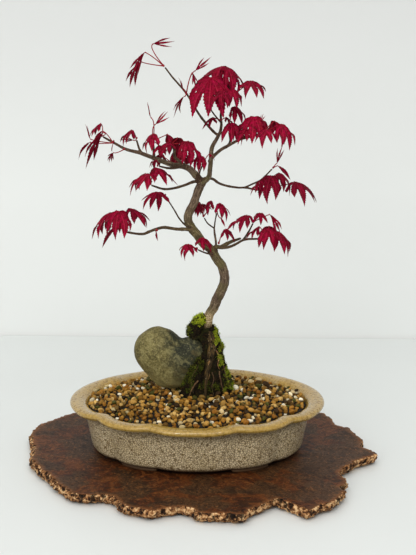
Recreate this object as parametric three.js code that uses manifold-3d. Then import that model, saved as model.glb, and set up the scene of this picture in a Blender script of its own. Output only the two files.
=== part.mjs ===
// A red-leaved maple bonsai grown over a stone, in an oval lobed pot on a slice of burl wood.
// Units are millimetres, +Z is up, X runs to the right and Y away from the viewer.
// The origin is on the underside of the slice, below the middle of the pot.

import * as THREE from 'three';
import { mergeVertices } from 'three/addons/utils/BufferGeometryUtils.js';
import Module from 'manifold-3d';

const wasm = await Module();
wasm.setup();

// ---------- Driving dimensions ----------

const GAP = 0.3; // clearance between pieces that lie against each other
const DEG = Math.PI / 180;
const DOWN = new THREE.Vector3(0, 0, -1);

const SLAB_THICKNESS = 12;
const SLAB_EDGE_POINTS = 78;
const SLAB_BULGE = [-1, 1.5, 1, 0]; // how far the edge stands out at each level, from the bottom up
const SLAB_SLANT = [-2.5, 7]; // the underside lies this far aside of the top, as the slice was cut askew
const EDGE_CHIPS = 1.6;
const EDGE_WAVES = 1.2;

const POT_HALF_LENGTH = 127; // 254 mm over the rim
const POT_HALF_WIDTH = 103;
const POT_HEIGHT = 52.5;
const POT_SEGMENTS = 36;
const WALL_BAND = 40; // rings this near the rim keep the rim's own distance, and further in they shrink
const FOOT_HEIGHT = 2.6;
const FOOT_ANGLES = [44, 52, 60, 68]; // degrees round a quarter of the pot
const FOOT_OUTSIDE = 26; // inside the rim
const FOOT_INSIDE = 39;
const FLOOR_Z = SLAB_THICKNESS + 9; // inside floor of the pot
const UNDERSIDE_Z = SLAB_THICKNESS + FOOT_HEIGHT; // clay between the feet
const NOTCHES = [40, 70, 110, 140, 220, 250, 290, 320]; // degrees round the rim
const NOTCH_DEPTH = 0.038;
const NOTCH_REACH = 14; // degrees over which a notch rounds into its lobe
const DRAIN_X = 45;
const DRAIN_DIAMETER = 12;
const DRAIN_CUT = 20; // length of the cutter that goes through the floor
const SCREEN_SIZE = 20;
const SCREEN_THICKNESS = 1;
const SCREEN_HOLE = 5;
const SCREEN_PITCH = 8;

const SOIL_INSET = 18.9; // from the rim's outside to the soil's edge
const SOIL_FLOOR_INSET = 29;
const SOIL_EDGE_Z = 59;
const SOIL_CENTRE_Z = 69;
const SOIL_RINGS = 9;
const SOIL_SEGMENTS = 2 * POT_SEGMENTS;
const STONE_RELIEF = 2; // how far a gravel stone stands above the soil's level
const STONE_SPACE = -0.5; // share of that by which the soil lies lower between the stones

const ROCK_CENTRE = [-20.5, 8, 104];
const ROCK_CHIPS = 0.7; // how far the stone's faces stand out of its smooth form
const ROCK_DEPTH_SHARE = 0.78;
const MOUND_BASE = [10, 9, 59];
const MOUND_TOP = [10.5, 13, 136];
const MOUND_SIDES = 14;
const MOUND_DEPTH_SHARE = 0.82;

const TWIG_SIDES = 4;
const BLADE_THICKNESS = 0.7;
const PETIOLE_WIDTH = 1.1;
const BUD_RADIUS = 1.6;
const SAG_SPREAD = 0.15; // how unevenly the lobes of a leaf turn down
const LENGTH_SPREAD = 0.06; // share by which a lobe is longer or shorter than its form says
const ANGLE_SPREAD = 0.08; // share of the angle between two lobes
const LONE_LOBE_ANGLE = 50; // degrees that the base of a leaf with one lobe takes up
const OUTER_SINUS_REACH = 0.18; // share of the leaf's length where the blade leaves the hub
const SINUS_SHARE = 0.45; // two lobes part no further out than this share of the shorter one
const LOBE_WIDEST = 0.62; // share of a lobe's length
const LOBE_SPACING = 0.38; // the most that a lobe's half width takes of the space to the next rib
const STALK_ARCH = 0.25; // shares of a stalk's length by which it bends back and down before the hub
const STALK_DIP = 0.1;
const STALK_RINGS = [0, 0.68]; // places along a stalk, from the bud to the hub
const RIB_STEPS = 6;

// ---------- Solids ----------

function toSolid(geometry) {
  const bare = geometry.index ? geometry.toNonIndexed() : geometry.clone();
  for (const name of Object.keys(bare.attributes)) {
    if (name !== 'position') bare.deleteAttribute(name);
  }
  const merged = mergeVertices(bare, 1e-4);
  const triangles = [];
  for (let i = 0; i < merged.index.count; i += 3) {
    const [a, b, c] = [0, 1, 2].map((k) => merged.index.getX(i + k));
    if (a !== b && b !== c && c !== a) triangles.push(a, b, c);
  }
  return new wasm.Manifold(new wasm.Mesh({
    numProp: 3,
    vertProperties: new Float32Array(merged.attributes.position.array),
    triVerts: new Uint32Array(triangles),
  }));
}

function toGeometry(solid) {
  const mesh = solid.getMesh();
  const geometry = new THREE.BufferGeometry();
  geometry.setAttribute('position', new THREE.BufferAttribute(new Float32Array(mesh.vertProperties), 3));
  geometry.setIndex(new THREE.BufferAttribute(new Uint32Array(mesh.triVerts), 1));
  return geometry;
}

function join(solids) {
  return solids.reduce((whole, piece) => whole.add(piece));
}

function cutBy(solid, cutters) {
  return cutters.reduce((left, cutter) => left.subtract(cutter), solid);
}

// Cutting can part a small scrap from a piece: the piece is its largest body.
function largestBody(solid) {
  return solid.decompose().reduce((best, body) => (body.volume() > best.volume() ? body : best));
}

function moveVertices(geometry, move) {
  const place = geometry.attributes.position;
  const point = new THREE.Vector3();
  for (let i = 0; i < place.count; i++) {
    move(point.fromBufferAttribute(place, i));
    place.setXYZ(i, point.x, point.y, point.z);
  }
  return geometry;
}

function vectors(points) {
  return points.map((p) => new THREE.Vector3(...p));
}

// A repeatable unevenness between -1 and 1.
function uneven(i, j) {
  return Math.sin(i * 12.9898 + j * 78.233);
}

// A round limb along a route. Its diameter runs through the list from the root to the tip,
// and margin makes it that much fatter and longer, for the room its neighbours leave it.
function limb(route, diameters, sides, steps, margin = 0) {
  const curve = new THREE.CatmullRomCurve3(vectors(route), false, 'centripetal');
  const frames = curve.computeFrenetFrames(steps);
  const tube = new THREE.CylinderGeometry(1, 1, 1, sides, steps);
  moveVertices(tube, (p) => {
    const level = Math.round((p.y + 0.5) * steps);
    const share = level / steps;
    const span = share * (diameters.length - 1);
    const low = Math.min(Math.floor(span), diameters.length - 2);
    const diameter = THREE.MathUtils.lerp(diameters[low], diameters[low + 1], span - low);
    const radius = diameter / 2 + margin;
    const end = level === 0 ? -margin : level === steps ? margin : 0;
    const [across, along] = [p.x * radius, p.z * radius];
    p.copy(curve.getPointAt(share));
    p.addScaledVector(frames.binormals[level], across);
    p.addScaledVector(frames.normals[level], along);
    p.addScaledVector(frames.tangents[level], end);
  });
  return toSolid(tube);
}

// ---------- Burl slice ----------

// The rim of the slice's top, anticlockwise from the back left corner.
const SLAB_OUTLINE = [
  [-154, 83], [-169, 63], [-172, 47], [-173, 35], [-169, 16], [-163, -14], [-161, -37], [-155, -53],
  [-146, -69], [-137, -81], [-129, -98], [-119, -112], [-107, -127], [-94, -129], [-80, -128],
  [-67, -136], [-61, -150], [-46, -158], [-33, -163], [-22, -157], [0, -155], [9, -167], [28, -168],
  [50, -168], [54, -157], [63, -148], [72, -138], [79, -131], [86, -139], [97, -148], [107, -158],
  [117, -146], [127, -139], [136, -124], [141, -113], [139, -102], [144, -90], [140, -72], [142, -57],
  [153, -40], [165, -27], [178.5, -14], [176, -5], [167, 6], [168, 27], [161, 48], [158, 60], [143, 73],
  [141, 86], [131, 110], [105, 122], [60, 128], [0, 132], [-60, 128], [-118, 113], [-141, 98],
];

function slab() {
  const rim = new THREE.CatmullRomCurve3(vectors(SLAB_OUTLINE.map(([x, y]) => [x, y, 0])), true);
  const points = rim.getSpacedPoints(SLAB_EDGE_POINTS).slice(0, -1);
  const shape = new THREE.Shape(points.map((p) => new THREE.Vector2(p.x, p.y)));
  const top = SLAB_BULGE.length - 1;
  const plate = new THREE.ExtrudeGeometry(shape, {
    depth: SLAB_THICKNESS, steps: top, bevelEnabled: false,
  });
  return toSolid(moveVertices(plate, (p) => {
    const level = Math.round((p.z / SLAB_THICKNESS) * top);
    if (level === top) return;
    const angle = Math.atan2(p.y, p.x);
    const chips = EDGE_CHIPS * uneven(Math.round(angle * 13), level);
    const waves = EDGE_WAVES * Math.sin(angle * 17 + level);
    const scale = 1 + (SLAB_BULGE[level] + chips + waves) / Math.hypot(p.x, p.y);
    const slant = 1 - level / top;
    p.x = p.x * scale + SLAB_SLANT[0] * slant;
    p.y = p.y * scale + SLAB_SLANT[1] * slant;
  }));
}

// ---------- Pot ----------

// The rim's lobes: 1 on a lobe, less in a notch.
function lobe(degrees) {
  const nearest = Math.min(...NOTCHES.map((notch) => Math.abs(notch - degrees)));
  return 1 - NOTCH_DEPTH * (1 - Math.min(nearest / NOTCH_REACH, 1)) ** 2;
}

// A ring of the pot is an oval: near the rim its two half axes differ by a fixed length.
function ringHalfWidth(halfLength) {
  const walls = POT_HALF_LENGTH - WALL_BAND;
  const narrow = POT_HALF_LENGTH - POT_HALF_WIDTH;
  return halfLength > walls ? halfLength - narrow : (halfLength * (walls - narrow)) / walls;
}

function ringPoint(halfLength, degrees) {
  const size = lobe(((degrees % 360) + 360) % 360);
  const angle = degrees * DEG;
  return [halfLength * size * Math.cos(angle), ringHalfWidth(halfLength) * size * Math.sin(angle)];
}

// A point on the straight side between two corners of a ring.
function sidePoint(halfLength, degrees) {
  const step = 360 / POT_SEGMENTS;
  const corner = Math.floor(degrees / step) * step;
  const [fromX, fromY] = ringPoint(halfLength, corner);
  const [toX, toY] = ringPoint(halfLength, corner + step);
  const share = (degrees - corner) / step;
  return [THREE.MathUtils.lerp(fromX, toX, share), THREE.MathUtils.lerp(fromY, toY, share)];
}

// Turns a profile of [half length, z] points round the pot's oval.
function turned(profile, segments = POT_SEGMENTS, lift = () => 0) {
  const lathe = new THREE.LatheGeometry(profile.map(([r, z]) => new THREE.Vector2(r, z)), segments);
  lathe.rotateX(Math.PI / 2);
  return toSolid(moveVertices(lathe, (p) => {
    const radius = Math.hypot(p.x, p.y);
    const degrees = Math.round(Math.atan2(p.y, p.x) / DEG);
    const [x, y] = radius < 0.01 ? [0, 0] : sidePoint(radius, degrees);
    p.set(x, y, p.z + lift(radius, degrees, p.z));
  }));
}

function inset(distance) {
  return POT_HALF_LENGTH - distance;
}

const RIM_Z = SLAB_THICKNESS + POT_HEIGHT;
const POT_PROFILE = [
  [0, UNDERSIDE_Z], [inset(25.5), UNDERSIDE_Z], [inset(21.5), 18.5], [inset(15.5), 50], [inset(13.5), 56.2],
  [inset(3.5), 57.4], [inset(0), 60.5], [inset(1.3), 63.4], [inset(5), RIM_Z],
  [inset(14.5), RIM_Z - 1.2], [inset(18), RIM_Z - 4.5], [inset(28), FLOOR_Z], [0, FLOOR_Z],
];

function foot(turnX, turnY) {
  const outer = FOOT_ANGLES.map((degrees) => ringPoint(inset(FOOT_OUTSIDE), degrees));
  const inner = FOOT_ANGLES.map((degrees) => ringPoint(inset(FOOT_INSIDE), degrees)).reverse();
  const corners = [...outer, ...inner].map(([x, y]) => new THREE.Vector2(x * turnX, y * turnY));
  const block = new THREE.ExtrudeGeometry(new THREE.Shape(corners), {
    depth: FOOT_HEIGHT + 1, bevelEnabled: false,
  });
  block.translate(0, 0, SLAB_THICKNESS);
  return toSolid(block);
}

function drain(x) {
  const hole = new THREE.CylinderGeometry(DRAIN_DIAMETER / 2, DRAIN_DIAMETER / 2, DRAIN_CUT, 12);
  hole.rotateX(Math.PI / 2);
  hole.translate(x, 0, UNDERSIDE_Z);
  return toSolid(hole);
}

function pot() {
  const feet = [foot(1, 1), foot(-1, 1), foot(1, -1), foot(-1, -1)];
  return cutBy(join([turned(POT_PROFILE), ...feet]), [drain(-DRAIN_X), drain(DRAIN_X)]);
}

function box(x, y, z, width, depth, height) {
  const block = new THREE.BoxGeometry(width, depth, height);
  block.translate(x, y, z);
  return toSolid(block);
}

// A square plastic mesh over a drain hole, seen only from below.
function screen(x) {
  const middle = FLOOR_Z + GAP + SCREEN_THICKNESS / 2;
  const sheet = box(x, 0, middle, SCREEN_SIZE, SCREEN_SIZE, SCREEN_THICKNESS);
  const hole = (turnX, turnY) => box(
    x + (turnX * SCREEN_PITCH) / 2, (turnY * SCREEN_PITCH) / 2, middle,
    SCREEN_HOLE, SCREEN_HOLE, 4 * SCREEN_THICKNESS,
  );
  return cutBy(sheet, [hole(1, 1), hole(-1, 1), hole(1, -1), hole(-1, -1)]);
}

function screenRoom(x) {
  const size = SCREEN_SIZE + 2 * GAP;
  return box(x, 0, FLOOR_Z + GAP, size, size, 2 * SCREEN_THICKNESS + 2 * GAP);
}

// ---------- Stone and root mound ----------

// The stone is three boulders grown together: each a centre and a radius, from the stone's centre.
const BOULDERS = [
  { centre: new THREE.Vector3(-18.5, 0, 6.5), radius: 24.2 },
  { centre: new THREE.Vector3(13.2, 0, 5.3), radius: 16.2 },
  { centre: new THREE.Vector3(-5.5, 0, -6.8), radius: 26 },
];
const BOULDER_BLEND = 16;

function rock(margin = 0) {
  const ball = new THREE.IcosahedronGeometry(1, 3);
  moveVertices(ball, (p) => {
    p.normalize();
    let sum = 0;
    for (const { centre, radius } of BOULDERS) {
      const middle = p.dot(centre);
      const exit = middle + Math.sqrt(middle ** 2 - centre.lengthSq() + radius ** 2);
      sum += exit ** BOULDER_BLEND;
    }
    const chips = Math.sin(p.x * 9 + p.z * 4) * Math.cos(p.y * 7 - p.z * 6);
    p.multiplyScalar(sum ** (1 / BOULDER_BLEND) + ROCK_CHIPS * chips + margin);
    p.y *= ROCK_DEPTH_SHARE;
  });
  ball.translate(...ROCK_CENTRE);
  return toSolid(ball);
}

// The mound's half width at each height, from the soil up to the foot of the trunk.
const MOUND_PROFILE = [[26, 59], [24.5, 73], [18.5, 98], [13, 116], [9, 131], [5, 136]];

// A shoulder of peat and moss leans from the trunk's foot over the stone, and a skirt of it is packed
// against the stone's lower right side.
const PEAT_LUMPS = {
  shoulder: {
    route: [[7.5, 9, 146.5], [2, 9, 140.5], [-3.5, 10, 131.5], [0, 12, 120]],
    diameters: [7, 13, 19, 17], sides: 8, steps: 4,
  },
  skirt: {
    route: [[6, 3, 110], [-1.5, 0, 98], [-5.5, -1.5, 80], [-6, -1, 60]],
    diameters: [9, 17, 22, 25], sides: 7, steps: 3,
  },
};

function mound(margin = 0) {
  const packed = Object.values(PEAT_LUMPS).map((l) => limb(l.route, l.diameters, l.sides, l.steps, margin));
  return join([peatCone(margin), ...packed]);
}

function peatCone(margin) {
  const profile = [
    [0, MOUND_BASE[2] - margin], ...MOUND_PROFILE.map(([r, z]) => [r + margin, z]),
    [0, MOUND_TOP[2] + 1 + margin],
  ];
  const lathe = new THREE.LatheGeometry(profile.map(([r, z]) => new THREE.Vector2(r, z)), MOUND_SIDES);
  lathe.rotateX(Math.PI / 2);
  return toSolid(moveVertices(lathe, (p) => {
    const share = THREE.MathUtils.clamp((p.z - MOUND_BASE[2]) / (MOUND_TOP[2] - MOUND_BASE[2]), 0, 1);
    const angle = Math.atan2(p.y, p.x);
    const lumps = 1 + 0.07 * Math.sin(angle * 3 + p.z * 0.11) + 0.05 * Math.sin(angle * 5 - p.z * 0.17);
    p.x = p.x * lumps + THREE.MathUtils.lerp(MOUND_BASE[0], MOUND_TOP[0], share);
    p.y = p.y * lumps * MOUND_DEPTH_SHARE + THREE.MathUtils.lerp(MOUND_BASE[1], MOUND_TOP[1], share);
  }));
}

// ---------- Soil ----------

// Potting soil filling the pot, with its top raised into rows of rounded gravel stones.
function soil() {
  const top = [];
  for (let ring = 0; ring <= SOIL_RINGS; ring++) {
    const radius = inset(SOIL_INSET) * (1 - ring / (SOIL_RINGS + 1));
    const crown = 1 - (radius / inset(SOIL_INSET)) ** 2;
    top.push([radius, THREE.MathUtils.lerp(SOIL_EDGE_Z, SOIL_CENTRE_Z, crown)]);
  }
  const profile = [[0, FLOOR_Z + GAP], [inset(SOIL_FLOOR_INSET), FLOOR_Z + GAP], ...top, [0, SOIL_CENTRE_Z]];
  return turned(profile, SOIL_SEGMENTS, (radius, degrees, z) => {
    if (radius < 0.01 || z <= SOIL_EDGE_Z) return 0;
    const ring = Math.round(radius / (inset(SOIL_INSET) / (SOIL_RINGS + 1)));
    const column = Math.round((degrees * SOIL_SEGMENTS) / 360);
    const isStone = ring % 2 === 0 && (column + ring / 2) % 2 === 0;
    return STONE_RELIEF * ((isStone ? 1 : STONE_SPACE) + 0.4 * uneven(ring, degrees));
  });
}

// ---------- Trunk, roots and branches ----------

// Each limb: its route from root to tip, its diameters along it, then its sides and steps.
const LIMBS = {
  trunk: {
    route: [
      [10.5, 12, 122], [11.5, 11, 145.5], [16.5, 10, 155], [20, 9, 164.5], [24.5, 8, 173.5],
      [27, 7, 182.5], [26.5, 6, 190.5], [24, 6, 198], [19, 6, 205.5], [14, 7, 213.5], [6, 8, 220],
      [0.5, 9, 227.5], [-4.5, 10, 233.5], [-8.5, 11, 240], [-9, 12, 245.5], [-7, 12, 252],
      [-3, 12, 259.5], [1, 11, 271.5], [5, 10, 281],
    ],
    diameters: [8, 9, 10, 9.5, 9, 9, 8.5, 8, 8], sides: 8, steps: 20,
  },
  leader: {
    route: [
      [5, 10, 279], [11.5, 9, 285.5], [12.5, 8, 292.5], [13.5, 7, 302], [14.5, 7, 314],
      [19, 7, 322.5], [22.5, 8, 329],
    ],
    diameters: [6, 4.5, 4.5, 4, 3.2], sides: 5, steps: 8,
  },
  crownStem: {
    route: [[22.3, 8, 328], [23.5, 8, 336], [23, 7, 344.5], [23, 6, 353.5]],
    diameters: [3.2, 2.4, 1.8], sides: TWIG_SIDES, steps: 4,
  },
  crownLeft: {
    route: [[23.3, 8, 338], [16, 13, 346], [11, 18, 353]],
    diameters: [1.8, 1.4], sides: TWIG_SIDES, steps: 3,
  },
  whip: {
    route: [
      [21.5, 8, 326.5], [19, 8, 327], [6, 6, 341], [0, 4, 350], [-9.5, 0, 366.5], [-22.5, -6, 382.5],
      [-29, -9, 391.5],
    ],
    diameters: [2.8, 2.2, 2, 1.6], sides: TWIG_SIDES, steps: 8,
  },
  rightUpper: {
    route: [
      [14.3, 7, 304.5], [23.5, 2, 313], [29, -2, 316.5], [35.5, -8, 321], [43, -15, 325.5],
      [52, -22, 328.5], [62.5, -29, 333],
    ],
    diameters: [3.4, 3, 2.6, 2], sides: TWIG_SIDES, steps: 8,
  },
  rightUpperFork: {
    route: [[43, -15, 325.5], [47.5, -12, 329], [52, -8, 332.5]],
    diameters: [2, 1.6], sides: TWIG_SIDES, steps: 3,
  },
  rightUpperRise: {
    route: [[29, -2, 316.5], [32, 2, 321], [31, 6, 327.5]],
    diameters: [2, 1.6], sides: TWIG_SIDES, steps: 3,
  },
  leftMain: {
    route: [
      [5, 10, 279], [-1, 11, 286.5], [-7, 12, 292.5], [-13.5, 14, 295], [-22, 16, 295.5],
      [-31.5, 19, 298], [-41, 22, 301], [-56.5, 27, 306], [-71, 32, 309], [-83.5, 36, 315],
      [-94, 40, 320],
    ],
    diameters: [7.5, 6.5, 5.5, 4.6, 4, 3.4, 2.6, 2], sides: 6, steps: 13,
  },
  leftMainRise: {
    route: [[-9.5, 12, 293.5], [-16.5, 7, 300.5], [-21, 2, 305.5], [-21.5, -4, 314], [-24, -8, 318]],
    diameters: [3.6, 3, 2], sides: TWIG_SIDES, steps: 6,
  },
  leftMainStub: {
    route: [[-15, 13.5, 294.5], [-26.5, 10, 293.5], [-36.5, 9, 295.5]],
    diameters: [3, 2.4, 1.8], sides: TWIG_SIDES, steps: 4,
  },
  leftMainUpright: {
    route: [[-42.5, 22, 301.5], [-42.5, 18, 310], [-42.5, 14, 318]],
    diameters: [3, 2], sides: TWIG_SIDES, steps: 3,
  },
  leftMainFork: {
    route: [[-54.5, 26, 305.5], [-57.5, 30, 309.5], [-60.5, 36, 317]],
    diameters: [2.6, 1.8], sides: TWIG_SIDES, steps: 3,
  },
  leftMiddle: {
    route: [
      [1, 10, 280], [-2, 5, 281.5], [-12.5, -5, 279], [-23, -14, 277.5], [-30.5, -20, 278],
      [-41, -30, 283],
    ],
    diameters: [3.2, 2.6, 2.4, 1.8], sides: TWIG_SIDES, steps: 6,
  },
  leftThin: {
    route: [[-7.5, 11, 234.5], [-10, 13, 235.5], [-17.5, 20, 241.5], [-23.5, 26, 250], [-32, 33, 261.5]],
    diameters: [2, 1.6, 1.4], sides: TWIG_SIDES, steps: 6,
  },
  leftLow: {
    route: [
      [-5, 9, 232], [-8.5, 6, 234], [-19.5, 0, 235.5], [-32, -8, 238.5], [-39, -12, 237.5],
      [-45.5, -15, 235.5], [-50.5, -18, 234], [-60.5, -22, 235.5], [-67.5, -25, 237.5],
    ],
    diameters: [4, 3.2, 3, 2.6, 2], sides: 5, steps: 8,
  },
  leftTiny: {
    route: [[15, 7, 209], [8.5, 0, 212], [1.5, -7, 216.5]],
    diameters: [2, 1.4], sides: TWIG_SIDES, steps: 4,
  },
  knob: {
    route: [[12, 7, 211.5], [19, 4, 217], [24.5, 0, 217.5]],
    diameters: [6, 5, 3.4], sides: 6, steps: 3,
  },
  rightRise: {
    route: [[18.5, 4, 216.5], [18.5, 6, 221.5], [17, 12, 229.5], [16.5, 16, 234.5]],
    diameters: [2.4, 1.8], sides: TWIG_SIDES, steps: 4,
  },
  rightRiseLeft: {
    route: [[16.6, 15.5, 233.5], [10, 20, 237.5], [6.5, 24, 242]],
    diameters: [1.6, 1.4], sides: TWIG_SIDES, steps: 3,
  },
  rightRiseRight: {
    route: [[16.6, 15.5, 233.5], [17.5, 14, 241], [19, 12, 249]],
    diameters: [1.6, 1.4], sides: TWIG_SIDES, steps: 3,
  },
  rightLow: {
    route: [
      [22, 1.5, 217], [30.5, -6, 219], [38, -13, 223.5], [44.5, -19, 228.5], [49, -23, 230.5],
      [58, -31, 232.5], [65, -37, 234.5],
    ],
    diameters: [3.2, 2.6, 2.2, 1.8], sides: TWIG_SIDES, steps: 6,
  },
  rightLowRise: {
    route: [[45, -19.5, 228.5], [50.5, -14, 236], [54.5, -8, 243]],
    diameters: [2.2, 1.6], sides: TWIG_SIDES, steps: 4,
  },
  brokenStub: {
    route: [[22, 2, 217], [34, 5, 222.5], [42.5, 8, 225]],
    diameters: [4, 3.6, 2.2], sides: 6, steps: 4,
  },
  rightMiddle: {
    route: [
      [7, 9.5, 284], [15, 12, 283], [20.5, 16, 278.5], [28, 21, 275], [40, 28, 272], [46.5, 31, 271.5],
      [57, 34, 269],
    ],
    diameters: [3, 2.4, 2.2, 1.8], sides: TWIG_SIDES, steps: 7,
  },
  rightMiddleRise: {
    route: [[45.5, 30.5, 271.5], [54, 36, 274.5], [61.5, 40, 277.5], [69, 43, 284], [73, 45, 288]],
    diameters: [1.9, 1.6], sides: TWIG_SIDES, steps: 6,
  },
  innerTwig: {
    route: [[2.7, 10, 282], [2.5, 5, 289], [5.5, -4, 298]],
    diameters: [1.9, 1.4], sides: TWIG_SIDES, steps: 3,
  },
  rootFront: {
    route: [[10.5, 11, 132], [14.5, 4, 118], [13, -1, 104], [10, -6, 90], [8.5, -12, 66]],
    diameters: [8, 8.5, 7, 3.6, 2.4], sides: 5, steps: 6,
  },
  rootRight: {
    route: [[12, 12, 132], [21, 10, 116], [26, 7, 98], [30.5, 6, 82], [35, 4, 66]],
    diameters: [8, 4.4, 3.4, 2.8, 2.4], sides: 5, steps: 5,
  },
  rootBack: {
    route: [[11, 14, 132], [13, 22, 114], [17, 26, 96], [19, 31, 78], [25, 38, 64]],
    diameters: [7, 4.6, 3.8, 3.2, 2.6], sides: 5, steps: 5,
  },
};

function tree(margin = 0) {
  return join(Object.values(LIMBS).map((l) => limb(l.route, l.diameters, l.sides, l.steps, margin)));
}

// ---------- Leaves ----------

// How a leaf is folded: the angles of its lobes from the middle one, their lengths and half widths as
// shares of the leaf's length, the share where its lobes part, its tilt below level, its roll, how far
// each lobe turns down by itself, and the degrees by which all its lobes bow down together.
const FORMS = {
  umbrella: {
    fan: [0, 40, 78, 116], lengths: [1, 0.95, 0.8, 0.5],
    width: 0.11, sinus: 0.42, tilt: 20, roll: 0, droop: 0.9, bow: 0,
  },
  cape: {
    fan: [0, 37, 73, 108], lengths: [1, 0.95, 0.8, 0.5],
    width: 0.11, sinus: 0.42, tilt: 34, roll: 0, droop: 0.72, bow: 0,
  },
  spread: {
    fan: [0, 38, 76, 114], lengths: [1, 0.95, 0.8, 0.5],
    width: 0.105, sinus: 0.42, tilt: 12, roll: 0, droop: 0.6, bow: 0,
  },
  bell: {
    fan: [0, 42, 88], lengths: [1, 0.92, 0.7],
    width: 0.115, sinus: 0.42, tilt: 20, roll: 0, droop: 0.86, bow: 0,
  },
  small: {
    fan: [0, 42, 86], lengths: [1, 0.88, 0.66],
    width: 0.115, sinus: 0.4, tilt: 24, roll: 0, droop: 0.65, bow: 0,
  },
  hanging: {
    fan: [0, 17, 34], lengths: [1, 0.9, 0.66],
    width: 0.06, sinus: 0.4, tilt: 42, roll: 60, droop: 0, bow: 36,
  },
  folded: {
    fan: [0, 13], lengths: [1, 0.84],
    width: 0.05, sinus: 0.35, tilt: 42, roll: 60, droop: 0, bow: 32,
  },
  young: {
    fan: [0, 19], lengths: [1, 0.88],
    width: 0.05, sinus: 0.25, tilt: -8, roll: 65, droop: 0, bow: 8,
  },
  perky: {
    fan: [0, 18], lengths: [1, 0.84],
    width: 0.055, sinus: 0.25, tilt: -42, roll: 60, droop: 0, bow: 0,
  },
  rising: {
    fan: [0, 17], lengths: [1, 0.85],
    width: 0.062, sinus: 0.3, tilt: -74, roll: 30, droop: 0, bow: 0,
  },
  single: {
    fan: [0], lengths: [1],
    width: 0.11, sinus: 0.3, tilt: 30, roll: 50, droop: 0, bow: 32,
  },
};

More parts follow.
